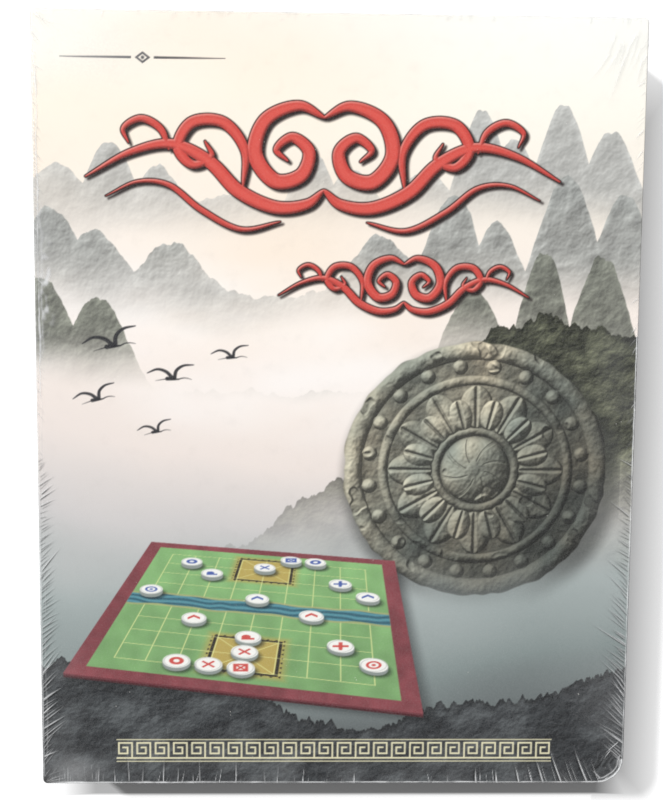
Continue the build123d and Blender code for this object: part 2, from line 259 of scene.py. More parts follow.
def medallion(sheet, middle, radius, tilt):
    """A round carved stone in weathered relief, lit from the upper left."""
    x0, y0 = middle
    rows, cols, x, y = around(x0, y0, 1.1 * radius, 1.1 * radius)
    u, v = (x - x0) / radius, (y - y0) / (radius * tilt)
    r, turn = np.hypot(u, v), np.arctan2(v, u)
    ring = lambda at, half: np.sqrt(np.clip(1 - ((r - at) / half) ** 2, 0, 1))
    height = 0.055 * ring(0.93, 0.07) + 0.030 * ring(0.70, 0.035) + 0.030 * ring(0.30, 0.03)
    # Studs between the two outer rings.
    step = 2 * np.pi / 20
    off = (np.mod(turn, step) - step / 2) * 0.81
    height = height + 0.055 * np.sqrt(np.clip(1 - np.hypot(off, r - 0.81) ** 2 / 0.055**2, 0, 1))
    # Two rows of petals round the boss, the outer row between the inner.
    for count, root, tip, shift, lift in ((12, 0.33, 0.66, 0.5, 0.05), (12, 0.33, 0.56, 0.0, 0.075)):
        step = 2 * np.pi / count
        side = (np.mod(turn + shift * step, step) - step / 2) / (step / 2)
        along = np.clip((r - root) / (tip - root), 0, 1)
        half = 0.94 * np.sqrt(np.clip(np.sin(np.pi * along**0.8), 0, 1)) + 1e-3
        petal = lift * np.sqrt(np.clip(1 - (side / half) ** 2, 0, 1)) * ((r > root) & (r < tip))
        height = np.maximum(height, petal * (1 - 0.55 * np.exp(-(side / 0.09) ** 2)))
    boss = 0.12 * np.sqrt(np.clip(1 - (r / 0.26) ** 2, 0, 1))
    boss *= 1 - 0.16 * (np.abs(np.sin(4 * turn + 9 * r)) < 0.22) * (r > 0.07)
    height = np.maximum(height, boss)
    # Weathering: pits, chips and worn edges.
    own = own_noise(rows, cols)
    rough = own(7, 61) * 0.010 + own(3, 62) * 0.006 + own(1.2, 63) * 0.0032 + own(0.6, 64) * 0.0018
    height = height * (1 - 0.55 * ramp(own(5, 65) + 0.5 * own(2, 66), 0.75, 1.1)) + rough
    down, along = np.gradient(height * radius, STEP)
    light = (1.0 + 1.5 * (along * 0.66 - down * 0.75)) / np.sqrt(1 + 0.9 * (down**2 + along**2))
    stain = (0.5 * own(16, 67) + 0.25 * own(4, 68))[..., None]
    tone = rgb("8F8E80") + (rgb("A9A390") - rgb("7C8178")) * stain
    for dim in (0.42 + 0.58 * np.clip(light, 0.1, 1.75), 0.72 + 0.28 * np.clip(height / 0.06, 0, 1),
                1.06 - 0.42 * ramp(0.75 * u - 0.65 * v, -0.6, 1.0)):
        tone = tone * dim[..., None]
    edge = ramp(1.0 + 0.012 * own(3, 69) - r, 0, 0.012)
    # Mist hides its lowest part, and its shadow falls down to the right.
    lost = ramp(y + 6 * own(12, 70), y0 - 1.25 * radius, y0 - 0.55 * radius)
    shadow = ramp(1.12 - np.hypot((x - x0 - 2.5) / radius, (y - y0 + 3.5) / (radius * tilt)), 0, 0.16)
    sheet.lay("2A2C2A", 0.55 * shadow * lost, rows, cols)
    sheet.lay(np.clip(tone, 0, 1), edge * (0.25 + 0.75 * lost), rows, cols)


def plane_map(corners, size):
    """The 3 x 3 map that takes the four corners of a slanted board to its own flat size."""
    (w, h), rows = size, []
    for (x, y), (s, t) in zip(corners, ((0, 0), (w, 0), (w, h), (0, h))):
        rows.append([x, y, 1, 0, 0, 0, -s * x, -s * y, s])
        rows.append([0, 0, 0, x, y, 1, -t * x, -t * y, t])
    rows = np.array(rows, float)
    return np.append(np.linalg.solve(rows[:, :8], rows[:, 8]), 1).reshape(3, 3)


def carry(matrix, x, y):
    """Places seen through such a map."""
    s, t, w = (row[0] * x + row[1] * y + row[2] for row in matrix)
    return s / w, t / w


def lines(value, places, half, soft):
    """How much of a line of the given half width lies at each place."""
    return np.max([1 - ramp(np.abs(value - p), half - soft, half + soft) for p in places], axis=0)


CELL, MARGIN, FRAME = 10.0, 7.0, 5.5          # between the board's points, round them, and its border
BOARD = (8 * CELL + 2 * (MARGIN + FRAME), 9 * CELL + 2 * (MARGIN + FRAME))
# (file, rank, side, mark) of each man on the painted board, part of the way through a game.
MEN = ((4, 0, 0, 0), (3, 0, 0, 1), (4, 1, 0, 1), (2, 0, 0, 2), (4, 2, 0, 3), (7, 2, 0, 4), (8, 1, 0, 5),
       (2, 3, 0, 6), (6, 4, 0, 6), (5, 9, 1, 0), (4, 8, 1, 1), (6, 9, 1, 2), (2, 7, 1, 3), (7, 7, 1, 4),
       (0, 5, 1, 5), (4, 5, 1, 6), (8, 6, 1, 6), (1, 8, 1, 2))


def board(sheet, corners):
    """The xiangqi board in perspective, with its river, palaces and men."""
    to_board = plane_map(corners, BOARD)
    xs, ys = zip(*corners)
    rows, cols, x, y = window(min(xs) - 8, max(xs) + 8, min(ys) - 8, max(ys) + 8)

    def edge(s, t):
        return np.minimum(np.minimum(s, BOARD[0] - s), np.minimum(t, BOARD[1] - t))

    for colour, amount, dx, dy, soft in (("17191A", 0.55, 2.2, -2.6, 3.5), ("4A2227", 1, 0, -1.5, 0.15),
                                         ("6B343B", 1, 0, -0.7, 0.15)):
        sheet.lay(colour, amount * ramp(edge(*carry(to_board, x - dx, y - dy)), -soft, soft), rows, cols)
    s, t = carry(to_board, x, y)
    border = edge(s, t)
    own = own_noise(rows, cols)
    ink = rgb("84464C") * (1 + 0.06 * own(2, 71) + 0.05 * own(12, 72))[..., None]

    def put(colour, amount):
        ink[...] += ((rgb(colour) if isinstance(colour, str) else colour) - ink) * amount[..., None]

    field = ramp(border - FRAME, -0.2, 0.2)
    put(rgb("7DA66E") * (1 + 0.05 * own(3, 73) + 0.10 * ramp(t, 0, BOARD[1]))[..., None], field)
    s0, t0 = s - FRAME - MARGIN, t - FRAME - MARGIN
    bank = np.abs(t0 - 4.5 * CELL - 0.5 * np.sin(s0 / 5.5) - 0.3 * np.sin(s0 / 2.3))
    grid = np.maximum(
        lines(s0, [CELL * k for k in range(9)], 0.16, 0.12) * (t0 > -0.15) * (t0 < 9 * CELL + 0.15),
        lines(t0, [CELL * k for k in range(10)], 0.16, 0.12) * (s0 > -0.15) * (s0 < 8 * CELL + 0.15),
    ) * field
    for foot in (0.0, 7 * CELL):
        a, b = s0 - 4 * CELL, t0 - foot - CELL
        square = np.maximum(np.abs(a), np.abs(b))
        put("C2A45A", 0.85 * ramp(CELL * 1.28 - square, -2.5, 2.5))
        wall = lines(square, [CELL * 1.08], 0.5, 0.15)
        teeth = (np.sin(2.2 * (a + b)) > 0) * (np.sin(2.2 * (a - b)) > 0)
        cross = (lines(a - b, [0], 0.22, 0.15) + lines(a + b, [0], 0.22, 0.15)).clip(0, 1)
        grid = np.maximum(grid, cross * (square < CELL))
        put("33302A", np.maximum(wall, lines(square, [CELL * 1.18], 0.35, 0.15) * teeth))
    put("E4E7A0", 0.9 * grid)
    put("A9A878", 0.8 * ramp(0.56 * CELL - bank, -0.6, 0.6) * field)
    ripple = 0.5 + 0.5 * np.sin(1.6 * t0 + 1.2 * np.sin(s0 / 3.1) + own(4, 74) * 2)
    put(mixed("35606E", "5E97A4", ripple), ramp(0.42 * CELL - bank, -0.4, 0.4) * field)
    sheet.lay(ink, ramp(border, -0.15, 0.15), rows, cols)
    for file, rank, side, mark in sorted(MEN, key=lambda m: -m[1]):
        man(sheet, to_board, (FRAME + MARGIN + file * CELL, FRAME + MARGIN + rank * CELL), side, mark)


def man(sheet, to_board, at, side, mark):
    """One white round piece standing on the painted board."""
    radius, thick = 0.43 * CELL, 1.3
    to_sheet = np.linalg.inv(to_board)
    cx, cy = carry(to_sheet, *at)
    turns = np.linspace(0, 2 * np.pi, 33)
    rim_x, rim_y = carry(to_sheet, at[0] + radius * np.cos(turns), at[1] + radius * np.sin(turns))
    wide, tall = np.ptp(rim_x) / 2, np.ptp(rim_y) / 2
    rows, cols, x, y = around(cx, cy, wide + 3, tall + 3)

    def disc(dx, dy, grow, soft):
        s, t = carry(to_board, x - dx, y - dy)
        return ramp(radius * grow - np.hypot(s - at[0], t - at[1]), -soft, soft)

    sheet.lay("0F1414", 0.6 * disc(0.7, -0.5, 1.08, 1.4), rows, cols)
    for lift in np.linspace(0, thick, 5)[:-1]:
        sheet.lay("8E9692", disc(0, lift, 1, 0.25), rows, cols)
    sheet.lay("F4F4EF", disc(0, thick, 1, 0.25), rows, cols)
    u, v = (x - cx) / wide, (y - cy - thick) / tall
    r = np.hypot(u, v)
    thin = lambda value, half: 1 - ramp(np.abs(value), half, half + 0.12)
    cross = lambda half: thin(u - v, half) + thin(u + v, half)
    shapes = (
        thin(np.maximum(abs(u), abs(v)) - 0.42, 0.05) + cross(0.05) * (r < 0.55),       # a crossed square
        cross(0.07) * (r < 0.6),                                                         # a cross
        1 - ramp(np.abs(r - 0.38), 0.10, 0.2),                                           # a ring
        (1 - ramp(np.hypot(u + 0.15, v), 0.3, 0.4)) + thin(v + 0.3, 0.08) * (abs(u) < 0.5),   # a dot on a bar
        (thin(u, 0.08) + thin(v, 0.08)) * (r < 0.6),                                     # a plus
        (1 - ramp(np.abs(r - 0.45), 0.05, 0.14)) + (1 - ramp(r, 0.1, 0.2)),              # a ringed dot
        thin(v - 0.35 + 0.9 * np.abs(u), 0.12) * (abs(u) < 0.5),                         # a chevron
    )
    ink = ("C9443E", "3D54A0")[side]
    sheet.lay(ink, 0.9 * np.clip(shapes[mark], 0, 1) * disc(0, thick, 0.9, 0.3), rows, cols)
    sheet.lay("B9BDB8", 0.6 * (1 - ramp(np.abs(r - 0.9), 0.02, 0.08)), rows, cols)


def curve(points, count):
    """Points along a smooth line through the given ones."""
    p = np.array(points, float)
    p = np.vstack([2 * p[0] - p[1], p, 2 * p[-1] - p[-2]])
    t = np.linspace(0, len(points) - 1 - 1e-6, count)
    k, f = t.astype(int), (t % 1)[:, None]
    a, b, c, d = (p[k + j] for j in range(4))
    return 0.5 * (2 * b + (c - a) * f + (2 * a - 5 * b + 4 * c - d) * f**2 + (3 * b - a - 3 * c + d) * f**3)


def reach(x, y, path, widths):
    """How far each place is outside a stroke that follows path with the given half widths."""
    out = np.full(x.shape, 1e3, np.float32)
    for (px, py), w in zip(path, widths):
        near = np.s_[np.searchsorted(y[:, 0], py - w - 3):np.searchsorted(y[:, 0], py + w + 3),
                     np.searchsorted(x[0], px - w - 3):np.searchsorted(x[0], px + w + 3)]
        out[near] = np.minimum(out[near], np.hypot(x[near] - px, y[near] - py) - w)
    return out


# The strokes of a pair of cloud scrolls: their right halves, in units of the scroll's size.
HEAD = ((0.0, 0.50), (0.33, 0.64), (0.74, 0.46), (0.87, 0.04), (0.62, -0.29), (0.29, -0.22), (0.19, 0.07),
        (0.40, 0.25), (0.60, 0.10), (0.46, -0.04))
TAIL = ((0.0, -0.40), (0.22, -0.58), (0.62, -0.62), (1.08, -0.42), (1.45, -0.06), (1.92, 0.15),
        (2.45, 0.04), (3.0, -0.26))
CURL = ((1.02, -0.36), (1.00, 0.08), (1.26, 0.42), (1.66, 0.42), (1.84, 0.12), (1.66, -0.10),
        (1.42, 0.0), (1.50, 0.19))
LEAF = ((1.95, 0.08), (2.06, 0.34), (2.30, 0.46), (2.52, 0.34), (2.46, 0.16))
UNDER = ((0.55, -0.80), (1.05, -0.90), (1.55, -0.66), (1.95, -0.36), (2.35, -0.32), (2.75, -0.50))


def scroll(sheet, middle, size, parts):
    """A pair of cloud scrolls in raised red, with a black shadow and a pale lit edge.

    Each part is a stroke and its widest half width.
    """
    rows, cols, x, y = around(*middle, 3.2 * size + 4, size + 4)
    out = np.full(x.shape, 1e3, np.float32)
    for points, widest in parts:
        for hand in (-1, 1):
            path = curve(points, int(14 * size)) * (hand * size, size) + middle
            t = np.linspace(0, 1, len(path))
            widths = widest * size * (0.12 + 0.88 * np.sin(np.pi * t**0.75) ** 0.8)
            out = np.minimum(out, reach(x, y, path, widths))
    down, along = np.gradient(out, STEP)
    lit = -0.6 * along + 0.8 * down
    cast = np.roll(out, (-int(1.0 / STEP), int(1.1 / STEP)), (0, 1))
    sheet.lay("140C0C", 0.9 * ramp(-cast, -0.9, 0.5), rows, cols)
    sheet.lay("1C0C0C", ramp(-out, -0.55, -0.15), rows, cols)
    tone = mixed("CE4A42", "E58A80", ramp(lit, 0.1, 0.9) * ramp(out, -1.1, -0.2))
    tone = tone * (1 - 0.45 * ramp(-lit, 0.1, 0.9) * ramp(out, -1.3, -0.2))[..., None]
    tone = tone + (rgb("E8685C") - tone) * (0.5 * ramp(-out, 0.6, 1.8))[..., None]
    sheet.lay(tone, ramp(-out, -0.12, 0.12), rows, cols)


def crane(sheet, x0, y0, size, tilt):
    """A crane in flight, as a dark silhouette."""
    rows, cols, x, y = around(x0, y0, 1.4 * size, size)
    turn = np.array(((np.cos(tilt), np.sin(tilt)), (-np.sin(tilt), np.cos(tilt))))
    wings_and_body = ((((0.02, 0), (-0.28, 0.27), (-0.70, 0.36), (-1.15, 0.16)), 0.085),
                      (((0.12, 0), (0.20, 0.36), (0.52, 0.60), (0.98, 0.66)), 0.085),
                      (((-0.22, -0.05), (0.05, -0.05), (0.32, -0.05)), 0.085))
    neck = ((0.30, -0.05), (0.52, 0.02), (0.72, 0.02), (0.92, -0.03))
    legs = ((-0.15, -0.05), (-0.42, -0.10), (-0.75, -0.17))
    for points, wide in (*wings_and_body, (neck, 0.026), (legs, 0.022)):
        path = curve(points, 60) @ turn * size + (x0, y0)
        t = np.linspace(0, 1, len(path))
        out = reach(x, y, path, wide * size * (1.05 - t) ** 0.5)
        sheet.lay("26262A", 0.9 * ramp(-out, -0.14, 0.14), rows, cols)


# One turn of the running key, in units of its line's width.
KEY = ((-2.5, -3), (-2.5, 3), (2.5, 3), (2.5, -1.2), (-0.8, -1.2), (-0.8, 1.2), (0.9, 1.2))


def key_band(sheet, x_half, low, high, colour):
    """A running key: square scrolls on a line, turned about the middle, between two fine rules."""
    rows, cols, x, y = window(-x_half - 1, x_half + 1, low - 2.2, high + 2.2)
    unit, half = (high - low) / 6, (high - low) / 2
    count = int(x_half // (7 * unit))
    place = np.abs(x) / x_half * count
    a, b = (place - np.floor(place) - 0.5) * 7, (y - low) / unit - 3
    near = np.abs(b + 3)
    for (x0, y0), (x1, y1) in zip(KEY[:-1], KEY[1:]):
        t = np.clip(((a - x0) * (x1 - x0) + (b - y0) * (y1 - y0)) / ((x1 - x0) ** 2 + (y1 - y0) ** 2), 0, 1)
        near = np.minimum(near, np.maximum(np.abs(a - x0 - t * (x1 - x0)), np.abs(b - y0 - t * (y1 - y0))))
    rules = lines(y - low - half, [half + 1.3, -half - 1.3], 0.20, 0.1)
    key = np.maximum(ramp(0.34 - near, -0.12, 0.12), rules)
    sheet.lay(colour, 0.92 * key * (np.abs(x) < x_half), rows, cols)


def rule_and_lozenge(sheet, x0, y0, half, colour):
    """A fine tapering rule either side of a small lozenge."""
    rows, cols, x, y = window(x0 - half - 1, x0 + half + 1, y0 - 4, y0 + 4)
    u, v = np.abs(x - x0), y - y0
    rule = ramp(0.34 * (1 - u / half) + 0.12 - np.abs(v), -0.1, 0.1) * (u > 4.2) * (u < half)
    out = u * 0.75 + np.abs(v)
    gem = ramp(2.1 - out, -0.1, 0.1) * (1 - ramp(1.25 - out, -0.1, 0.1))
    sheet.lay(colour, np.maximum(np.maximum(rule, gem), ramp(0.6 - np.hypot(u, v), -0.1, 0.1)), rows, cols)


def wear(sheet):
    """Scuffed folds and one corner rubbed black, as the case has been handled."""
    a, b = COVER_W / 2, COVER_L / 2
    near = lambda run, level: slice(*np.searchsorted(run, (level - 1.2, level + 1.2)))
    for upright, level, seed in ((True, a, 81), (True, -a, 83), (False, b, 86), (False, -b, 88)):
        rows, cols = (slice(None), near(PX, level)) if upright else (near(PY, level), slice(None))
        own = own_noise(rows, cols)
        off = np.abs((PX[cols][None] if upright else PY[rows][:, None]) - level)
        scuffed = ramp(own(0.7, seed) + 0.8 * own(7, seed + 1), 0.2, 1.4)
        sheet.lay("F2EEE6", 0.6 * scuffed * ramp(0.5 - off, 0, 0.4), rows, cols)
    rows, cols, x, y = window(-a - 3, -a + 6, -b - 3, -b + 6)
    far = np.hypot(x + a - 0.6, y + b - 0.4) - 0.7 * own_noise(rows, cols)(1.1, 85)
    sheet.lay("0E0E10", 0.95 * ramp(2.6 - far, -0.3, 0.3), rows, cols)


def painted():
    """The whole printed sheet."""
    sheet = Sheet()
    landscape(sheet)
    scroll(sheet, (-6, 93), 29.0, ((TAIL, 0.085), (CURL, 0.072), (LEAF, 0.045), (UNDER, 0.035),
                                   (HEAD, 0.095)))
    scroll(sheet, (24, 47), 15.5, ((TAIL, 0.085), (CURL, 0.075), (LEAF, 0.05), (HEAD, 0.10)))
    rule_and_lozenge(sheet, -72, 128, 30, "2A2628")
    for x0, y0, size, tilt in ((-84, 24, 9.5, 0.10), (-62, 12, 8, -0.05), (-90, 4, 7.5, 0.15),
                               (-40, 20, 6.5, 0.0), (-68, -8, 6, 0.1)):
        crane(sheet, x0, y0, size, tilt)
    medallion(sheet, (52, -22), 50, 0.97)
    board(sheet, ((-104, -101), (34, -117), (22, -57), (-70, -50)))
    key_band(sheet, 84, -134.5, -128.5, "F1EAC4")
    wear(sheet)
    return np.clip(sheet.ink, 0, 1)


# ---------------------------------------------------------------- sheets over the lid
LEAST_RADIUS = 0.25        # of a corner, however far its outline moves inwards


class Rim:
    """The outline of a grid with rounded corners, which can be offset and swept down the sides."""

    def __init__(self, xs, ys, half, radii):
        self.half, self.radii = half, radii
        a, b = half
        # Each outline point: its outward direction, corner, side (0 in a corner) and place.
        points = []
        for run, across, sign in ((xs, False, -1), (ys, True, 1), (xs[::-1], False, 1), (ys[::-1], True, -1)):
            for value in run[:-1]:
                x, y = (sign * a, value) if across else (value, sign * b)
                corner = (1 if x > 0 else -1, 1 if y > 0 else -1)
                r = radii[corner]
                u, v = (abs(x) - (a - r)) / r, (abs(y) - (b - r)) / r
                if u >= 0 and v >= 0:
                    normal = (corner[0] * u * np.sqrt(1 - v * v / 2), corner[1] * v * np.sqrt(1 - u * u / 2))
                    points.append((normal, corner, 0, (x, y)))
                else:
                    points.append(((sign, 0) if across else (0, sign), corner, 2 if across else 1, (x, y)))
        self.normal, self.corner, self.side, self.along = (np.array(part) for part in zip(*points))
        self.count = len(self.side)

    def keep(self, wanted):
        """Leaves out the other points."""
        self.normal, self.along, self.corner, self.side = (
            v[wanted] for v in (self.normal, self.along, self.corner, self.side))
        self.count = len(self.side)

    def radius(self, corner):
        """The radius at each of these corners."""
        table = np.array([[self.radii[(sx, sy)] for sy in (-1, 1)] for sx in (-1, 1)])
        return table[(corner[:, 0] > 0).astype(int), (corner[:, 1] > 0).astype(int)]

    def at(self, offset):
        """The outline moved outwards by offset, with its corners kept a little round."""
        half = np.array(self.half) + offset
        r = np.maximum(self.radius(self.corner) + offset, LEAST_RADIUS)[:, None]
        place = self.corner * (half - r) + r * self.normal
        for axis, side in ((0, 1), (1, 2)):
            on = self.side == side
            sign = np.sign(self.along[on, 1 - axis])
            ends = []
            for s in (-1, 1):
                end = np.stack([np.full(len(sign), s), sign], 1)
                was = self.radius(end if axis == 0 else end[:, ::-1])
                now = np.maximum(was + offset, LEAST_RADIUS)
                ends.append((s * (self.half[axis] - was), s * (half[axis] - now)))
            share = (self.along[on, axis] - ends[0][0]) / (ends[1][0] - ends[0][0])
            place[on, axis] = ends[0][1] + share * (ends[1][1] - ends[0][1])
            place[on, 1 - axis] = sign * half[1 - axis]
        return place


def round_off(x, y, half, radii):
    """Moves the points of a square-cornered grid so that its corners are round."""
    x, y = x.copy(), y.copy()
    for (sx, sy), r in radii.items():
        u, v = (sx * x - (half[0] - r)) / r, (sy * y - (half[1] - r)) / r
        near = (u > 0) & (v > 0)
        u, v = u[near], v[near]
        x[near] = sx * (half[0] - r + r * u * np.sqrt(1 - v * v / 2))
        y[near] = sy * (half[1] - r + r * v * np.sqrt(1 - u * u / 2))
    return x, y


def spaced(half, pitch):
    """Evenly spaced places from one edge to the other."""
    return np.linspace(-half, half, 2 * int(round(half / pitch)) + 1)


def sampled(picture, x, y):
    """A raster over the sheet, read between its points."""
    i = np.clip((x - PX[0]) / STEP, 0, len(PX) - 1.001)
    j = np.clip((y - PY[0]) / STEP, 0, len(PY) - 1.001)
    i0, j0 = i.astype(int), j.astype(int)
    f, g = i - i0, j - j0
    if picture.ndim == 3:
        f, g = f[:, None], g[:, None]
    return ((picture[j0, i0] * (1 - f) + picture[j0, i0 + 1] * f) * (1 - g)
            + (picture[j0 + 1, i0] * (1 - f) + picture[j0 + 1, i0 + 1] * f) * g)


def corners(inset):
    """Corner radii of an outline that far inside the film; one corner has been knocked round."""
    return {(sx, sy): (KNOCKED if (sx, sy) == (1, -1) else CORNER) - inset
            for sx in (-1, 1) for sy in (-1, 1)}


def build(name, co, faces, smooth_faces=True):
    """A mesh object from points in mm and groups of faces: arrays of one size each, or lists."""
    loops = np.concatenate([f.ravel() if isinstance(f, np.ndarray) else np.concatenate(f) for f in faces])
    totals = [np.full(len(f), f.shape[1]) if isinstance(f, np.ndarray) else [len(one) for one in f]
              for f in faces]
    totals = np.concatenate(totals).astype(np.int32)
    mesh = bpy.data.meshes.new(name)
    mesh.vertices.add(len(co))
    mesh.vertices.foreach_set("co", (np.asarray(co, np.float32) * MM).ravel())
    mesh.loops.add(len(loops))
    mesh.loops.foreach_set("vertex_index", loops.astype(np.int32))
    mesh.polygons.add(len(totals))
    mesh.polygons.foreach_set("loop_start", np.concatenate([[0], np.cumsum(totals)[:-1]]).astype(np.int32))
    mesh.polygons.foreach_set("loop_total", totals)
    mesh.update(calc_edges=True)
    mesh.polygons.foreach_set("use_smooth", np.full(len(totals), smooth_faces))
    piece = bpy.data.objects.new(name, mesh)
    bpy.context.scene.collection.objects.link(piece)
    return piece


def point_values(piece, name, values, kind="FLOAT"):
    layer = piece.data.attributes.new(name, kind, "POINT")
    field = "color" if kind == "FLOAT_COLOR" else "value"
    layer.data.foreach_set(field, np.asarray(values, np.float32).ravel())


def flat_map(piece, flat, hidden=0):
    """A map that lays the piece out as its flat sheet; its last few faces, out of sight, take a speck."""
    loops = np.empty(len(piece.data.loops), np.int32)
    piece.data.loops.foreach_get("vertex_index", loops)
    low, high = flat.min(0), flat.max(0)
    edge, speck = 0.005, 0.003
    uv = ((flat - low) / (high - low).max() * (0.999 - edge) + edge)[loops]
    if hidden:
        first = piece.data.polygons[len(piece.data.polygons) - hidden].loop_start
        uv[first:] = 0.0005 + speck * uv[first:]
    layer = piece.data.uv_layers.new(name="OFBake")
    layer.data.foreach_set("uv", uv.astype(np.float32).ravel())


def quads(rings, count, first=0):
    """Faces between closed rings of points, laid one after another."""
    k = np.arange(count)
    n = (k + 1) % count
    return np.concatenate([np.stack([first + r * count + k, first + r * count + n,
                                     first + (r + 1) * count + n, first + (r + 1) * count + k], 1)
                           for r in range(rings - 1)])


def arc(steps):
    """(sideways, down) along a unit fold, from flat to upright."""
    turns = np.radians(np.linspace(0, 90, steps + 1)[1:])
    return list(zip(np.sin(turns), 1 - np.cos(turns)))


def grid_outline(index):
    """The outline of a full grid of point numbers, in the order that Rim uses."""
    return np.concatenate([index[0, :-1], index[:-1, -1], index[-1, :0:-1], index[:0:-1, 0]])


def grid_faces(index):
    """The faces of a grid of point numbers."""
    return np.stack([index[:-1, :-1], index[:-1, 1:], index[1:, 1:], index[1:, :-1]], -1).reshape(-1, 4)


def join_faces(outline, start):
    """Faces from a top's outline to the ring of points that starts at that number."""
    ring = start + np.arange(len(outline))
    return np.stack([np.roll(outline, -1), outline, ring, np.roll(ring, -1)], 1)


def swept(rim, path, height, lift=None):
    """Rings of points down a section that starts at that height, and their places on the flat sheet.

    Each step of the path is (outwards, height); with lift, it also says which way lift moves the points.
    """
    rings, flats, run, last, base = [], [], 0.0, (0.0, height), rim.at(0)
    for offset, z, *away in path:
        run += np.hypot(offset - last[0], z - last[1])
        last = (offset, z)
        flat, place = base + rim.normal * run, rim.at(offset)
        if lift:
            rise = lift(flat)
            place = place + rim.normal * (rise * away[0])[:, None]
            z = z + rise * away[1]
        rings.append(np.column_stack([place, np.full(rim.count, z)]))
        flats.append(flat)
    return rings, flats


# ---------------------------------------------------------------- cover paper
BARE_PAPER = 0.8           # tone of its glued side


def cover_paper():
    """The printed sheet: over the lid's top, down its sides and turned in behind the rim."""
    half = (COVER_W / 2 - FOLD, COVER_L / 2 - FOLD)
    radii = corners(PAPER_INSET + FOLD)
    xs, ys = spaced(half[0], DOT), spaced(half[1], DOT)
    gx, gy = np.meshgrid(xs, ys)
    index = np.arange(gx.size).reshape(gx.shape)
    tx, ty = round_off(gx.ravel(), gy.ravel(), half, radii)
    top = np.stack([tx, ty, np.full(tx.shape, PAPER_TOP)], 1)
    rim = Rim(xs, ys, half, radii)
    # The sheet's section, outwards and by height: its turned-in side lies at `inner` and ends at `cut`.
    inner, ease, cut = FOLD - 2.10, 0.25, 18.0
    path = [(FOLD * s, PAPER_TOP - FOLD * c) for s, c in arc(4)]
    path += [(FOLD, z) for z in np.linspace(PAPER_TOP - FOLD, LID_RIM + ease, int(28 / (DOT * 2.4)))[1:]]
    path += [(FOLD - 0.08, LID_RIM + 0.07), (FOLD - ease, LID_RIM), (inner + ease, LID_RIM),
             (inner + 0.08, LID_RIM + 0.07), (inner, LID_RIM + ease)]
    path += [(inner, z) for z in np.linspace(LID_RIM + 1, cut, int(15 / (DOT * 3)))]
    printed = len(path)
    # The glued side, out of sight against the board.
    glued_in, glued_out, glued_rim, glued_top = inner + 0.13, FOLD - 0.14, LID_RIM + 0.16, PAPER_TOP - 0.16
    path += [(glued_in, cut), (glued_in, glued_rim), (glued_out, glued_rim), (glued_out, PAPER_TOP - FOLD),
             (FOLD * 0.6, glued_top), (-0.6, glued_top)]
    rings, flats = swept(rim, path, PAPER_TOP)
    flats[printed:] = [flats[printed - 1]] * (len(path) - printed)
    co = np.concatenate([top, *rings])
    flat = np.concatenate([top[:, :2], *flats])
    start = len(top)
    last_ring = np.arange(len(co) - rim.count, len(co))
    faces = [grid_faces(index), join_faces(grid_outline(index), start),
             quads(len(path), rim.count, start)[:, ::-1], [last_ring[::-1]]]
    piece = build("cover_paper", co, faces)
    ink = painted()
    soft = (ink[:-1, :-1] + ink[1:, :-1] + ink[:-1, 1:] + ink[1:, 1:]) / 4
    soft = np.pad(soft, ((0, 1), (0, 1), (0, 0)), "edge")
    tone = linear(sampled(soft, flat[:, 0] - STEP / 2, flat[:, 1] - STEP / 2))
    tone[start + printed * rim.count:] = BARE_PAPER
    point_values(piece, "print", np.column_stack([tone, np.ones(len(tone))]), "FLOAT_COLOR")
    flat_map(piece, flat, (len(path) - printed) * rim.count + 1)
    return piece


# ---------------------------------------------------------------- shrink film
FILM_LOW, FILM_HIGH = 31.71, 31.985     # heights between which the film lies over the cover
FILM_EASE = 0.6                         # how far its turn over the edges is eased
WELD = 15                               # how far below the cover the bag was welded shut
FINE_FOOT, FINE_SIDE, COARSE = 26, 30, 4          # reach of the fine mesh in mm; dots between coarse points


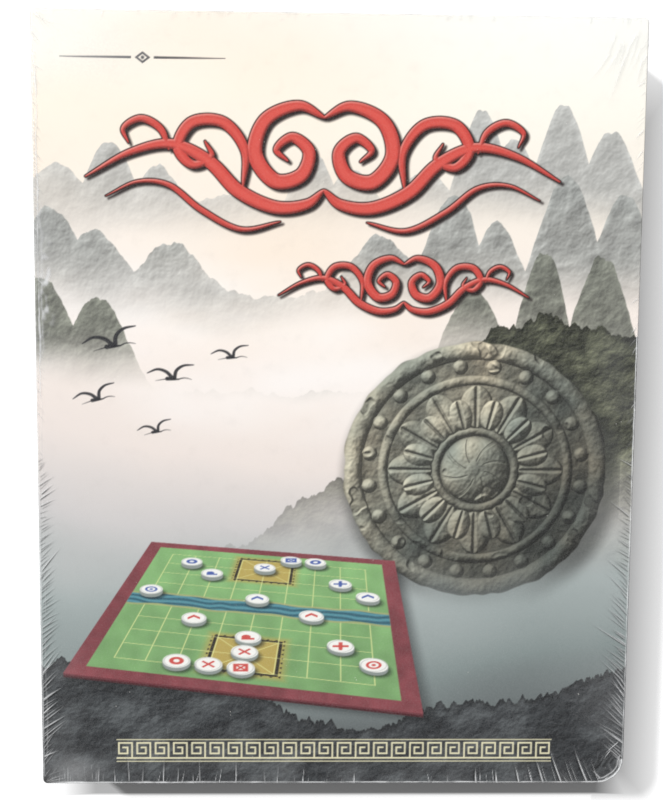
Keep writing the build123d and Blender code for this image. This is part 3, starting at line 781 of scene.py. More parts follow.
class Creases:
    """Height of the film's creases, with their painted milky haze and highlight and their painted shade, over
    the same flat sheet as the print.
    """

    def __init__(self):
        self.height, self.milk, self.shade = (np.zeros((len(PY), len(PX)), np.float32) for _ in range(3))

    def crease(self, x, y, angle, length, wide, height, milk, bend=0.0, shade=0.5):
        """A sharp fold of film from (x, y), running at angle and dying away, with a painted milky highlight
        on one side and painted shade on the other."""
        c, s = np.cos(angle), np.sin(angle)
        mid_x, mid_y, span = x + c * length / 2, y + s * length / 2, length / 2 + 4 * wide + abs(bend)
        rows, cols, gx, gy = window(mid_x - span, mid_x + span, mid_y - span, mid_y + span)
        if not gx.size:
            return
        along = ((gx - x) * c + (gy - y) * s) / length
        across = -(gx - x) * s + (gy - y) * c - bend * along * along
        body = ramp(along, -0.06, 0.10) * ramp(1 - along, 0.0, 0.75)
        half = wide * (0.55 + 0.45 * body)
        beside = 1.05 * wide * (1 if c >= 0 else -1)
        ridge = height * body * np.exp(-np.abs(across / half) ** 1.5)
        # Painted milky haze and highlight on one side of the fold, painted shade on the other.
        bright = milk * np.exp(-((across - 0.1 * wide) / (0.36 * half)) ** 2) * body
        dark = shade * milk**0.5 * np.exp(-((across + beside) / (0.6 * half)) ** 2) * body
        for layer, values in ((self.height, ridge), (self.milk, bright), (self.shade, dark)):
            layer[rows, cols] = np.maximum(layer[rows, cols], values)

    def glint(self, place, upright, strength, wide, wander, seed, start, stop, dark=False):
        """A painted highlight, or with dark a painted shade, as an uneven line along an edge, at x = place if
        upright and at y = place if not.
        """
        run, across = (PY, PX) if upright else (PX, PY)
        zero = np.zeros(1, np.float32)

        def own(cell, seed):
            values = noise(cell, seed, 1.0, zero, run) if upright else noise(cell, seed, 1.0, run, zero)
            return values.ravel()

        drift = wander * (own(9, seed) + 0.6 * own(2.2, seed + 1))
        amount = strength * (0.4 + 0.6 * ramp(own(6, seed + 2) + 0.8 * own(1.4, seed + 3), -1.1, 0.9))
        amount *= ramp(run, start - 3, start + 3) * ramp(-run, -stop - 3, -stop + 3)
        thick = wide * (0.6 + 0.5 * ramp(own(3, seed + 4), -0.5, 1.2))
        span = 2.5 + 2 * wander
        near = slice(*np.searchsorted(across, (place - span, place + span)))
        line = amount * np.exp(-((across[near][:, None] - place - drift) / thick) ** 2)
        part, line = ((slice(None), near), line.T) if upright else ((near, slice(None)), line)
        layer = self.shade if dark else self.milk
        layer[part] = np.maximum(layer[part], line)

    def veil(self, x, y, wide, tall, milk, cell=0.0, seed=0):
        """A soft milky patch of painted glare, broken up by noise of the given size."""
        rows, cols, gx, gy = window(x - 2 * wide, x + 2 * wide, y - 2 * tall, y + 2 * tall)
        patch = milk * np.exp(-((gx - x) / wide) ** 2 - ((gy - y) / tall) ** 2)
        if cell:
            patch *= ramp(noise(cell, seed, 0.6, PX[cols], PY[rows]), 0.0, 1.4)
        self.milk[rows, cols] += patch


A, B = CASE_W / 2, CASE_L / 2           # half the case each way
UPRIGHT = np.pi / 2


def foot_creases(film, uniform):
    """Fine upright creases that lean in towards the middle, close together near the knocked corner."""
    for _ in range(64):
        x = -A + 4 + (2 * A - 12) * uniform() ** 0.8
        crowd = ramp(x, A - 55, A - 12)
        strong = uniform() < 0.35
        long = uniform(4, 8.5) if strong else uniform(2, 5)
        lean = 0.26 * x / A + uniform(-0.12, 0.12) + 0.25 * crowd
        film.crease(x, -B + 0.2, UPRIGHT + lean, long + 9 * crowd * uniform(), uniform(0.24, 0.34),
                    uniform(0.05, 0.14), uniform(0.4, 0.75) if strong else uniform(0.08, 0.25),
                    uniform(-0.6, 0.6), 0.35 + 0.5 * crowd)


def edge_combs(film, uniform):
    """Slanting ripples along both long edges, up from the edge below the middle and down above it."""
    for side in (1, -1):
        for y in np.arange(-B + 8, B - 5, 1.55):
            y += uniform(-0.6, 0.6)
            low, deep = y < -18, ramp(-y, 5, 100)
            if not low and uniform() < 0.45:
                continue
            strong = uniform() < (0.14 if low else 0.2)
            lean = (0.60 + 0.18 * deep if low else -0.72) + 0.14 * np.sin(y / 6.0 + side) + uniform(-0.1, 0.1)
            more = 1 + 0.4 * ramp(-y, 60, 90) * (side > 0)
            long = (4.2 + 3.4 * deep) * uniform(0.6, 1.4) * more + (strong and low) * uniform(1, 6)
            milk = uniform(0.45, 0.75) if strong else uniform(0.16, 0.42) * (0.5 + 0.9 * deep)
            film.crease(side * (A - uniform(0.2, 1.4)), y, lean if side < 0 else np.pi - lean, long,
                        uniform(0.26, 0.40), uniform(0.07, 0.18), min(milk * more, 0.95),
                        side * uniform(0, 1.2), 0.9 if low else 0.15)


def head_creases(film, uniform):
    """A few short creases at the head, fans at three corners and long ones by the head's ends."""
    for _ in range(40):
        film.crease(uniform(-A + 3, A - 3), B - 0.2, -UPRIGHT + uniform(-0.35, 0.35), uniform(1.5, 5.5),
                    uniform(0.24, 0.4), uniform(0.04, 0.12), uniform(0.06, 0.25), uniform(-0.6, 0.6), 0.2)
    # Corners: fans of longer folds.
    for sx, sy, count, far, milk in ((-1, 1, 10, 13, 0.45), (-1, -1, 9, 12, 0.4), (1, -1, 5, 9, 0.6)):
        for _ in range(count):
            turn = uniform(0.15, UPRIGHT - 0.15)
            angle = np.arctan2(-sy * np.sin(turn), -sx * np.cos(turn))
            x, y = sx * (A - 1.6 * uniform(0.6, 2.2)), sy * (B - 1.6 * uniform(0.6, 2.2))
            film.crease(x, y, angle, far * uniform(0.3, 1), uniform(0.28, 0.45), uniform(0.07, 0.2),
                        milk * uniform(0.3, 1), uniform(-2.5, 2.5), 0.35 if sy < 0 else 0.1)
    # Head end: wide soft ripples by the right corner and a bright comb down the left edge.
    for _ in range(13):
        film.crease(A - uniform(1, 15), B - uniform(3, 16), -1.95 + uniform(-0.22, 0.22), uniform(12, 24),
                    uniform(0.5, 1.0), uniform(0.06, 0.18), uniform(0.08, 0.3), uniform(-2, 2), 0.12)
    for y in np.arange(58, 106, 1.5):
        film.crease(-A + uniform(0.3, 1.0), y, -0.8 + uniform(-0.15, 0.15), uniform(3, 6.5), 0.32, 0.14,
                    uniform(0.3, 0.85), -0.6, 0.25)


def knocked_corner(film, uniform):
    """Long folds side by side, dark facets of painted shade between them, and short ones round the edge."""
    for number, x in enumerate(np.arange(A - 61, A - 7, 2.9)):
        near, bold = ramp(x, A - 50, A - 16), number % 3 == 1
        if bold or near > 0.3:
            film.crease(x + uniform(-0.8, 0.8), -B + 0.3, 1.75 + 0.25 * near + uniform(-0.1, 0.1),
                        (uniform(6, 8) + 10 * near) * (1 if bold else 0.75),
                        uniform(0.50, 0.66) if bold else 0.32, uniform(0.14, 0.26),
                        uniform(0.75, 0.95) if bold else uniform(0.25, 0.5), uniform(-1.2, 0.6), 1.0)
    # Dark facets: low ridges that carry painted shade and almost no haze.
    for _ in range(8):
        film.crease(A - uniform(4, 15), -B + uniform(4, 9), 1.15 + uniform(-0.35, 0.35), uniform(4, 8),
                    uniform(0.6, 1.0), uniform(0.08, 0.2), 0.03, uniform(-0.8, 0.8), 4.5)
    for x, y, angle, long, milk in ((A - 2.6, -B + 17, -2.42, 8, 0.9), (A - 5.6, -B + 13.5, -2.25, 5, 0.8),
                                    (A - 1.6, -B + 12, -2.0, 6.5, 0.7), (A - 9, -B + 2.2, 2.3, 6, 0.9)):
        film.crease(x, y, angle, long, 0.36, 0.24, milk, 0.5, 1.0)
    for _ in range(9):
        turn = uniform(-1.35, -0.25)
        x, y = A - KNOCKED + 8.6 * np.cos(turn), -B + KNOCKED + 8.6 * np.sin(turn)
        film.crease(x, y, turn + UPRIGHT + uniform(-0.3, 0.3), uniform(2.5, 6), 0.32, 0.16,
                    uniform(0.5, 0.95), 0.8, 0.9)


def edge_lines(film):
    """Lines where the film turns over the edges, painted highlight and then painted shade, and folds a little
    way in.
    """
    # Painted highlight lines along the edges and a little way in.
    for place, is_upright, strength, wide, wander, seed, start, stop in (
            (-B + 0.85, False, 0.95, 0.30, 0.05, 421, -A + 3, A - KNOCKED + 1),
            (A - 0.85, True, 0.90, 0.26, 0.06, 431, -B + KNOCKED - 1, 30),
            (-A + 0.85, True, 0.50, 0.22, 0.06, 436, -B + 4, B - 6),
            (-A + 1.9, True, 0.70, 0.42, 0.30, 441, 5, B - 22),
            (-A + 3.0, True, 0.32, 0.70, 0.60, 443, 20, 75),
            (-A + 2.2, True, 0.24, 0.20, 0.25, 446, -B + 10, 20),
            (B - 0.85, False, 0.28, 0.20, 0.05, 451, -A + 4, A - 4)):
        film.glint(place, is_upright, strength, wide, wander, seed, start, stop)
    # Painted shade lines at the very edges.
    for place, is_upright, strength, seed in ((B - 0.25, False, 0.42, 471), (-A + 0.25, True, 0.34, 476),
                                              (A - 0.25, True, 0.30, 481)):
        film.glint(place, is_upright, strength, 0.24, 0.03, seed, -B - 1, B + 1, dark=True)
    # The film lies doubled round the knocked corner: milky lines, partly its haze and partly painted
    # highlight.
    rows, cols, gx, gy = window(A - KNOCKED, A + 1, -B - 1, -B + KNOCKED)
    r = np.hypot(gx - A + KNOCKED, gy + B - KNOCKED) + 0.22 * noise(2.4, 455, 1.0, PX[cols], PY[rows])
    for inset, wide, milk in ((0.9, 0.42, 0.95), (2.4, 0.24, 0.55)):
        doubled = milk * np.exp(-((r - KNOCKED + inset) / wide) ** 2)
        film.milk[rows, cols] = np.maximum(film.milk[rows, cols], doubled)


def side_folds(film, uniform):
    """Folds that run up and down the four sides, closest together at the corners, and the weld."""
    for sx, sy, length in ((1, 0, 2 * B), (-1, 0, 2 * B), (0, 1, 2 * A), (0, -1, 2 * A)):
        for _ in range(int(length / 2.4)):
            t = (length / 2 - 1) * np.sign(uniform(-1, 1)) * uniform() ** 0.6
            from_rim = uniform() < 0.5
            d = SIDE + 1 if from_rim else uniform(-1, 2)
            x, y = (sx * (A + d), t) if sx else (t, sy * (B + d))
            angle = np.arctan2(sy, sx) + (np.pi if from_rim else 0) + uniform(-0.3, 0.3)
            film.crease(x, y, angle, uniform(4, 19), uniform(0.3, 0.6), uniform(0.05, 0.2),
                        uniform(0.08, 0.45), uniform(-1.5, 1.5), 0.3)
    # The weld that closed the bag, round three sides, WELD mm down from the cover.
    for x0, y0, angle, length in ((A + WELD, -B - 4, UPRIGHT, 2 * B + 8),
                                  (-A - WELD, -B - 4, UPRIGHT, 2 * B + 8),
                                  (-A - 4, -B - WELD, 0.0, 2 * A + 8)):
        for step in np.arange(0, length, 9.0):
            film.crease(x0 + step * np.cos(angle), y0 + step * np.sin(angle), angle, 12.5, 0.42, 0.22, 0.42)


def slack(film):
    """Slow swell of the film near its edges, which breaks up the shine."""
    edge = np.minimum(A - np.abs(PX)[None, :], B - np.abs(PY)[:, None])
    near = 1 - ramp(np.abs(edge), 2.0, 26.0)
    film.height += 0.035 * near * (1 + clouds(9, 401, 3)) + 0.010 * (1 + noise(34, 405))
    film.milk += 0.02 * near * (1 + noise(6, 411))
    # Painted reflection: a soft patch of glare near the head's left corner.
    film.veil(-88, 129, 26, 12, 0.20)


def far_foot(film, uniform):
    """The foot's far end: upright folds in a painted glare, and bright ones that slant in from the edge."""
    for x in np.arange(-A + 5, -A + 24, 1.2):
        film.crease(x + uniform(-0.5, 0.5), -B + 0.3, UPRIGHT + uniform(-0.12, 0.08), uniform(5, 12),
                    uniform(0.26, 0.4), uniform(0.05, 0.12), uniform(0.08, 0.3), uniform(-0.5, 0.5), 0.3)
    for x, long in ((-91, 9), (-84.5, 7), (-79, 15), (-74, 9), (-66, 13), (-60.5, 8), (-52, 12), (-38, 11),
                    (-27, 7)):
        film.crease(x, -B + 0.3, UPRIGHT + uniform(-0.06, 0.06), long, 0.42, 0.14, uniform(0.4, 0.7),
                    uniform(-0.4, 0.4), 0.5)
    for y, lean, long in ((-134, 0.52, 7), (-123, 0.62, 12.5), (-117, 0.80, 9), (-111.5, 0.66, 10.5),
                          (-101, 0.86, 7.5)):
        film.crease(-A + 0.8, y, lean, long, 0.45, 0.2, 0.85, -0.9, 1.0)
    # Painted glare by the foot's far corner.
    film.veil(-101, -140, 9, 6, 0.17)
    # Painted highlight: white blotches along the left edge.
    film.veil(-108, 44, 2.0, 18, 0.8, 1.6, 465)


def wrinkled():
    """Creases where the film was drawn in: thick along both long edges, the foot and the corners."""
    film, uniform = Creases(), np.random.default_rng(7).uniform
    for part in (foot_creases, edge_combs, head_creases, knocked_corner):
        part(film, uniform)
    edge_lines(film)
    side_folds(film, uniform)
    slack(film)
    far_foot(film, uniform)
    return film


def film_over_lid():
    """Clear film over the lid: top, folds and sides, with its creases as real ridges."""
    film, ease = wrinkled(), FILM_EASE
    inset = CASE_H - FILM_LOW              # the film hugs the paper as closely at the sides
    half = (CASE_W / 2 - inset - ease, CASE_L / 2 - inset - ease)
    radii = corners(inset + ease)
    xs, ys = spaced(half[0], DOT), spaced(half[1], DOT)
    # Fine all over the foot and by both long edges; coarser where the film lies flat.
    foot, margin = int(FINE_FOOT / DOT), int(FINE_SIDE / DOT)
    keep = np.concatenate([np.arange(margin), np.arange(margin, len(xs) - margin, COARSE),
                           np.arange(len(xs) - margin, len(xs))])
    low_x, low_y = np.meshgrid(xs, ys[:foot + 1])
    high_x, high_y = np.meshgrid(xs[keep], ys[foot + 1:])
    low = np.arange(low_x.size).reshape(low_x.shape)
    high = low_x.size + np.arange(high_x.size).reshape(high_x.shape)
    gx, gy = np.append(low_x, high_x), np.append(low_y, high_y)
    tx, ty = round_off(gx, gy, half, radii)
    rise = np.minimum(sampled(film.height, tx, ty), FILM_HIGH - FILM_LOW)
    top = np.stack([tx, ty, FILM_LOW + rise], 1)
    outline = np.concatenate([low[0, :-1], low[:, -1], high[:, -1], high[-1, -2:0:-1], high[::-1, 0],
                              low[:0:-1, 0]])
    rim = Rim(xs, ys, half, radii)
    # The head edge is coarse in its middle, as the film's top is there.
    wanted = np.ones(rim.count, bool)
    head = np.arange(len(xs) - 1 + len(ys) - 1, 2 * (len(xs) - 1) + len(ys) - 1)
    wanted[head] = np.isin(len(xs) - 1 - (head - head[0]), keep)
    rim.keep(wanted)
    path = [(ease * s, FILM_LOW - ease * c, s, 1 - c) for s, c in arc(4)]
    path += [(ease, z, 1, 0) for z in np.linspace(FILM_LOW - ease, LID_RIM + 0.02, int(28 / (DOT * 2)))[1:]]
    rings, flats = swept(rim, path, FILM_LOW,
                         lambda flat: np.minimum(sampled(film.height, *flat.T), inset - 0.01))
    co = np.concatenate([top, *rings])
    flat = np.concatenate([top[:, :2], *flats])
    # Where fine mesh meets coarse, one face takes up several fine points.
    seam = [[*low[foot, c0:c1 + 1], h1, h0]
            for c0, c1, h0, h1 in zip(keep[:-1], keep[1:], high[0, :-1], high[0, 1:])]
    start = len(top)
    faces = [grid_faces(low), grid_faces(high), seam, join_faces(outline, start),
             quads(len(path), rim.count, start)[:, ::-1]]
    piece = build("film_over_lid", co, faces)
    # Painted haze and highlight, and painted shade, carried as point attributes.
    for name, values in (("milk", film.milk), ("shade", film.shade)):
        point_values(piece, name, np.clip(sampled(values, *flat.T), 0, 1))
    flat_map(piece, flat)
    return piece


# ---------------------------------------------------------------- materials
FILM_BUMP = 0.010          # mm, ripples in the film finer than its mesh
FILM_MIRROR = 0.018        # share of light that the film mirrors when seen square on


class Value:
    """A number in a material's nodes, so that patterns can be written as sums."""

    def __init__(self, mat, socket):
        self.mat, self.socket = mat, socket

    def __add__(self, other):
        return self.mat.math("ADD", self, other)

    def __radd__(self, other):
        return self.mat.math("ADD", other, self)

    def __sub__(self, other):
        return self.mat.math("SUBTRACT", self, other)

    def __rsub__(self, other):
        return self.mat.math("SUBTRACT", other, self)

    def __mul__(self, other):
        return self.mat.math("MULTIPLY", self, other)

    def __rmul__(self, other):
        return self.mat.math("MULTIPLY", other, self)

    def __abs__(self):
        return self.mat.math("ABSOLUTE", self)


class Material:
    """A Principled material whose colour, roughness and bump come from nodes, in millimetres."""

    def __init__(self, name):
        self.data = bpy.data.materials.new(name)
        self.data.use_nodes = True
        self.tree = self.data.node_tree
        self.tree.nodes.clear()
        self.shader = self.node("ShaderNodeBsdfPrincipled")
        self.output = self.node("ShaderNodeOutputMaterial")
        self.tree.links.new(self.shader.outputs[0], self.output.inputs["Surface"])
        scaled = self.node("ShaderNodeVectorMath", operation="SCALE")
        scaled.inputs["Scale"].default_value = 1000
        self.tree.links.new(self.node("ShaderNodeTexCoord").outputs["Object"], scaled.inputs[0])
        self.place = scaled.outputs[0]
        split = self.node("ShaderNodeSeparateXYZ")
        self.tree.links.new(self.place, split.inputs[0])
        self.x, self.y, self.z = (Value(self, s) for s in split.outputs)

    def node(self, kind, **settings):
        made = self.tree.nodes.new(kind)
        for key, value in settings.items():
            setattr(made, key, value)
        return made

    def feed(self, socket, value):
        if isinstance(value, Value):
            value = value.socket
        if isinstance(value, bpy.types.NodeSocket):
            self.tree.links.new(value, socket)
        elif isinstance(value, str):
            socket.default_value = tint(value)
        else:
            socket.default_value = value

    def math(self, operation, *values, clamp=False):
        made = self.node("ShaderNodeMath", operation=operation, use_clamp=clamp)
        for socket, value in zip(made.inputs, values):
            self.feed(socket, value)
        return Value(self, made.outputs[0])

    def least(self, a, b):
        return self.math("MINIMUM", a, b)

    def most(self, a, b):
        return self.math("MAXIMUM", a, b)

    def step(self, value, low, high):
        """0 below low and 1 above high, or the other way round, eased between."""
        made = self.node("ShaderNodeMapRange", interpolation_type="SMOOTHSTEP")
        flip = low > high
        settings = (value, min(low, high), max(low, high), float(flip), float(not flip))
        for socket, number in zip(made.inputs, settings):
            self.feed(socket, number)
        return Value(self, made.outputs[0])

    def stretched(self, sx, sy, sz, turn=0.0):
        """Coordinates in cells of these sizes in mm."""
        made = self.node("ShaderNodeMapping")
        self.feed(made.inputs["Vector"], self.place)
        made.inputs["Rotation"].default_value = (0, 0, turn)
        made.inputs["Scale"].default_value = (1 / sx, 1 / sy, 1 / sz)
        return made.outputs[0]

    def noise(self, cell, detail, rough=0.55, at=None):
        """Noise with features of about that size in mm, middle 0.5."""
        made = self.node("ShaderNodeTexNoise")
        self.feed(made.inputs["Vector"], self.place if at is None else at)
        made.inputs["Scale"].default_value = 1.0 if at is not None else 1 / cell
        made.inputs["Detail"].default_value = detail
        made.inputs["Roughness"].default_value = rough
        return Value(self, made.outputs[0])

    def cells(self, cell):
        """Distance from scattered points about that many mm apart."""
        made = self.node("ShaderNodeTexVoronoi")
        self.feed(made.inputs["Vector"], self.place)
        made.inputs["Scale"].default_value = 1 / cell
        return Value(self, made.outputs["Distance"])

    def waves(self, along, pitch):
        """A sine of that pitch in mm, 0 to 1."""
        return self.math("SINE", along * (2 * np.pi / pitch)) * 0.5 + 0.5

    def blend(self, share, a, b):
        made = self.node("ShaderNodeMix", data_type="RGBA")
        factor, first, second = (made.inputs[k] for k in (0, 6, 7))      # the sockets for colours
        for socket, value in ((factor, share), (first, a), (second, b)):
            self.feed(socket, value)
        return made.outputs[2]

    def tone(self, colour, *layers):
        """A colour under layers of (share, colour)."""
        for share, over in layers:
            colour = self.blend(share, colour, over)
        self.feed(self.shader.inputs["Base Color"], colour)
        return self

    def rough(self, low, high, share):
        self.feed(self.shader.inputs["Roughness"], share * (high - low) + low)
        return self

    def relief(self, height, depth):
        """Bump from a height in units of depth, in mm."""
        bump = self.node("ShaderNodeBump")
        bump.inputs["Strength"].default_value = 1.0
        bump.inputs["Distance"].default_value = depth * MM
        self.feed(bump.inputs["Height"], height)
        self.tree.links.new(bump.outputs[0], self.shader.inputs["Normal"])
        return self

    def plain(self, **sockets):
        for name, value in sockets.items():
            self.shader.inputs[name.replace("_", " ")].default_value = value
        return self

    def on(self, *pieces):
        for piece in pieces:
            piece = nodes[piece] if isinstance(piece, str) else piece
            piece.data.materials.clear()
            piece.data.materials.append(self.data)
        return self


def tint(code):
    linear = [c / 12.92 if c <= 0.04045 else ((c + 0.055) / 1.055) ** 2.4 for c in rgb(code).astype(float)]
    return (*linear, 1.0)


def cover_print():
    """Offset print: the painted sheet, with paper grain and specks, in a dull varnish."""
    mat = Material("cover_print")
    ink = mat.node("ShaderNodeVertexColor", layer_name="print")
    grain = mat.noise(0.35, 2)
    mottle = mat.noise(6, 3)
    specks = mat.step(mat.cells(2.6), 0.10, 0.05) * mat.step(mat.noise(9, 2), 0.60, 0.70)
    mat.tone(ink.outputs[0], (mat.step(grain, 0.35, 0.9) * 0.06, "FFFFFF"),
             (mat.step(mottle, 0.5, 0.9) * 0.05, "3A3632"), (specks * 0.5, "F4F1EA"))
    mat.rough(0.30, 0.46, mottle).relief(grain * 0.5 + mat.noise(1.6, 2), 0.012)
    return mat.plain(Specular_IOR_Level=0.12)


def clear_film(name):
    """Shrink film: clear, mirror-bright at a slant, with painted milky haze and highlight on one side of a
    fold and painted shade on the other.
    """
    mat = Material(name)
    link = mat.tree.links.new
    mat.tree.nodes.remove(mat.shader)
    milk, shade = (Value(mat, mat.node("ShaderNodeAttribute", attribute_name=layer).outputs["Fac"])
                   for layer in ("milk", "shade"))
    fine = mat.noise(0.9, 2) * 0.6 + mat.noise(1, 2, at=mat.stretched(0.7, 0.7, 3.0)) * 0.4
    bump = mat.node("ShaderNodeBump")
    bump.inputs["Strength"].default_value = 0.6
    bump.inputs["Distance"].default_value = FILM_BUMP * MM
    mat.feed(bump.inputs["Height"], fine)
    facing, gloss = mat.node("ShaderNodeLayerWeight"), mat.node("ShaderNodeBsdfAnisotropic")
    for surface in (facing, gloss):
        link(bump.outputs[0], surface.inputs["Normal"])
    mirror = mat.math("POWER", Value(mat, facing.outputs["Facing"]), 5.0) * 0.9 + FILM_MIRROR
    mat.feed(gloss.inputs["Roughness"], mat.step(milk, 0.0, 0.8) * 0.22 + fine * 0.05 + 0.04)
    surface = mat.node("ShaderNodeBsdfTransparent")
    surface.inputs["Color"].default_value = (0.985, 0.985, 0.985, 1)
    layers = []
    # Painted shade in near black, and painted haze and highlight in white, over the clear film.
    for amount, colour in ((shade * (fine * 0.5 + 0.6), (0.008, 0.009, 0.010, 1)),
                           (milk * (fine * 0.7 + 0.6), (0.93, 0.94, 0.95, 1))):
        body = mat.node("ShaderNodeBsdfDiffuse")
        body.inputs["Color"].default_value = colour
        layers.append((mat.least(amount, 0.92), body))
    for share, layer in (*layers, (mirror, gloss)):
        both = mat.node("ShaderNodeMixShader")
        mat.feed(both.inputs[0], share)
        link(surface.outputs[0], both.inputs[1])
        link(layer.outputs[0], both.inputs[2])
        surface = both
    link(surface.outputs[0], mat.output.inputs["Surface"])
    return mat


def fibres(mat, size=1.0):
    """Matted fibres of paper or board, 0 to 1, lying every way."""
    first, second, third = (mat.noise(1, 3, at=mat.stretched(2.6 * size, 0.22 * size, size, turn))
                            for turn in (0.3, 1.3, 2.4))
    return mat.most(mat.most(first, second), third)


def greyboard():
    mat = Material("greyboard")
    fibre, fleck = fibres(mat), mat.step(mat.noise(0.7, 3), 0.62, 0.72)
    mat.tone("8E877B", (mat.step(fibre, 0.45, 0.75), "A59E91"),
             (mat.step(mat.noise(7, 3), 0.4, 0.7) * 0.4, "7C766C"), (fleck * 0.5, "57534D"),
             (mat.step(mat.noise(0.5, 2), 0.70, 0.76) * 0.6, "C9C4BA"))
    mat.rough(0.82, 0.97, fibre).relief(fibre + mat.noise(0.4, 2) * 0.5, 0.05)
    return mat.plain(Specular_IOR_Level=0.25)


def kraft_tape():
    mat = Material("kraft_tape")
    fibre = fibres(mat, 0.8)
    mat.tone("A9814F", (mat.step(fibre, 0.45, 0.72), "BF9967"),
             (mat.step(mat.noise(4, 3), 0.45, 0.75) * 0.4, "8E6A3D"))
    return mat.rough(0.62, 0.85, fibre).relief(fibre, 0.03).plain(Specular_IOR_Level=0.3)


def base_paper():
    mat = Material("base_paper")
    fibre, cloud = fibres(mat, 0.5), mat.noise(14, 4)
    scuff = mat.step(mat.noise(1, 4, 0.6, mat.stretched(5, 5, 1.2)), 0.60, 0.72)
    mat.tone("4B5053", (mat.step(cloud, 0.4, 0.7) * 0.5, "565C5F"),
             (mat.step(fibre, 0.5, 0.8) * 0.3, "3F4447"), (scuff * 0.30, "878C8E"))
    mat.rough(0.42, 0.68, fibre * 0.5 + scuff * 0.5).relief(fibre, 0.02)
    return mat.plain(Coat_Weight=0.1, Coat_Roughness=0.3)


def weave(mat, pitch, a, b):
    """Plain weave: how high the thread stands, over and under."""
    over, across = mat.waves(a, pitch), mat.waves(b, pitch)
    turn = mat.step(mat.waves(a, pitch * 2), 0.45, 0.55)
    turn = abs(turn - mat.step(mat.waves(b, pitch * 2), 0.45, 0.55))
    return over * turn + across * (1 - turn)


def cloth(name, dark, light, pitch):
    """Book cloth, or paper pressed like it, with that many mm between threads."""
    mat = Material(name)
    wobble = mat.noise(3.0, 2) * 0.5
    thread = weave(mat, pitch, mat.x + wobble, mat.y + wobble)
    slub = mat.noise(1, 3, at=mat.stretched(6, 0.5, 0.5))
    mat.tone(dark, (mat.step(thread, 0.2, 1.0), light), (mat.step(slub, 0.55, 0.75) * 0.35, light),
             (mat.step(mat.noise(20, 3), 0.5, 0.8) * 0.2, dark))
    mat.rough(0.62, 0.86, thread).relief(thread + slub * 0.6, 0.06)
    return mat.plain(Specular_IOR_Level=0.3)


def formed_plastic():
    mat = Material("tray_plastic")
    ripple = mat.noise(3.5, 3)
    dust = mat.step(mat.cells(1.9), 0.09, 0.04) * mat.step(mat.noise(6, 2), 0.55, 0.65)
    drawn = mat.noise(1, 3, at=mat.stretched(0.6, 0.6, 9))
    scratch = mat.step(mat.noise(1, 2, at=mat.stretched(14, 0.18, 4, 0.5)), 0.68, 0.74)
    mat.tone("E9E3D4", (mat.step(mat.noise(30, 3), 0.4, 0.75) * 0.5, "DFD8C6"),
             (scratch * 0.35, "F6F2E8"), (dust * 0.4, "A79F8E"))
    mat.rough(0.24, 0.44, ripple * 0.6 + scratch * 0.4 + drawn * 0.2)
    mat.relief(ripple + drawn * 0.3, 0.03)
    return mat.plain(Specular_IOR_Level=0.5, Subsurface_Weight=0.08, Subsurface_Scale=0.002)


def paper(name, colour, shade, ruled):
    """A block of pages, whose edges show as fine lines `ruled` mm apart, with painted shade in the gaps
    between the leaves.
    """
    mat = Material(name)
    fibre = fibres(mat, 0.45)
    layers = [(mat.step(fibre, 0.45, 0.8) * 0.35, shade),
              (mat.step(mat.noise(25, 3), 0.45, 0.8) * 0.35, shade)]
    wavy = mat.z + mat.noise(1, 2, at=mat.stretched(40, 40, 3)) * 0.35
    leaf = mat.waves(wavy, ruled) * 0.7 + mat.waves(wavy, ruled * 2.7) * 0.3
    # Painted shade in the gaps between the leaves.
    layers.append((mat.step(leaf, 0.45, 0.1) * 0.75, "A79D88"))
    mat.tone(colour, *layers).rough(0.68, 0.9, fibre).relief(fibre * 0.3 + leaf, 0.05)
    return mat.plain(Specular_IOR_Level=0.3)


# The folding board, as the CAD has it: where it folds, and its lines' distances from there and the middle.
FOLD_X = -101.409
PITCH, BANK = 28.0, 14.0             # between points; from the fold to the river's bank
LAST_RANK, LAST_FILE = BANK + 4 * PITCH, 4 * PITCH
PALACE_X = LAST_RANK - PITCH         # the palace's middle
FIELD = (135.6, 124.8)               # the green field's reach


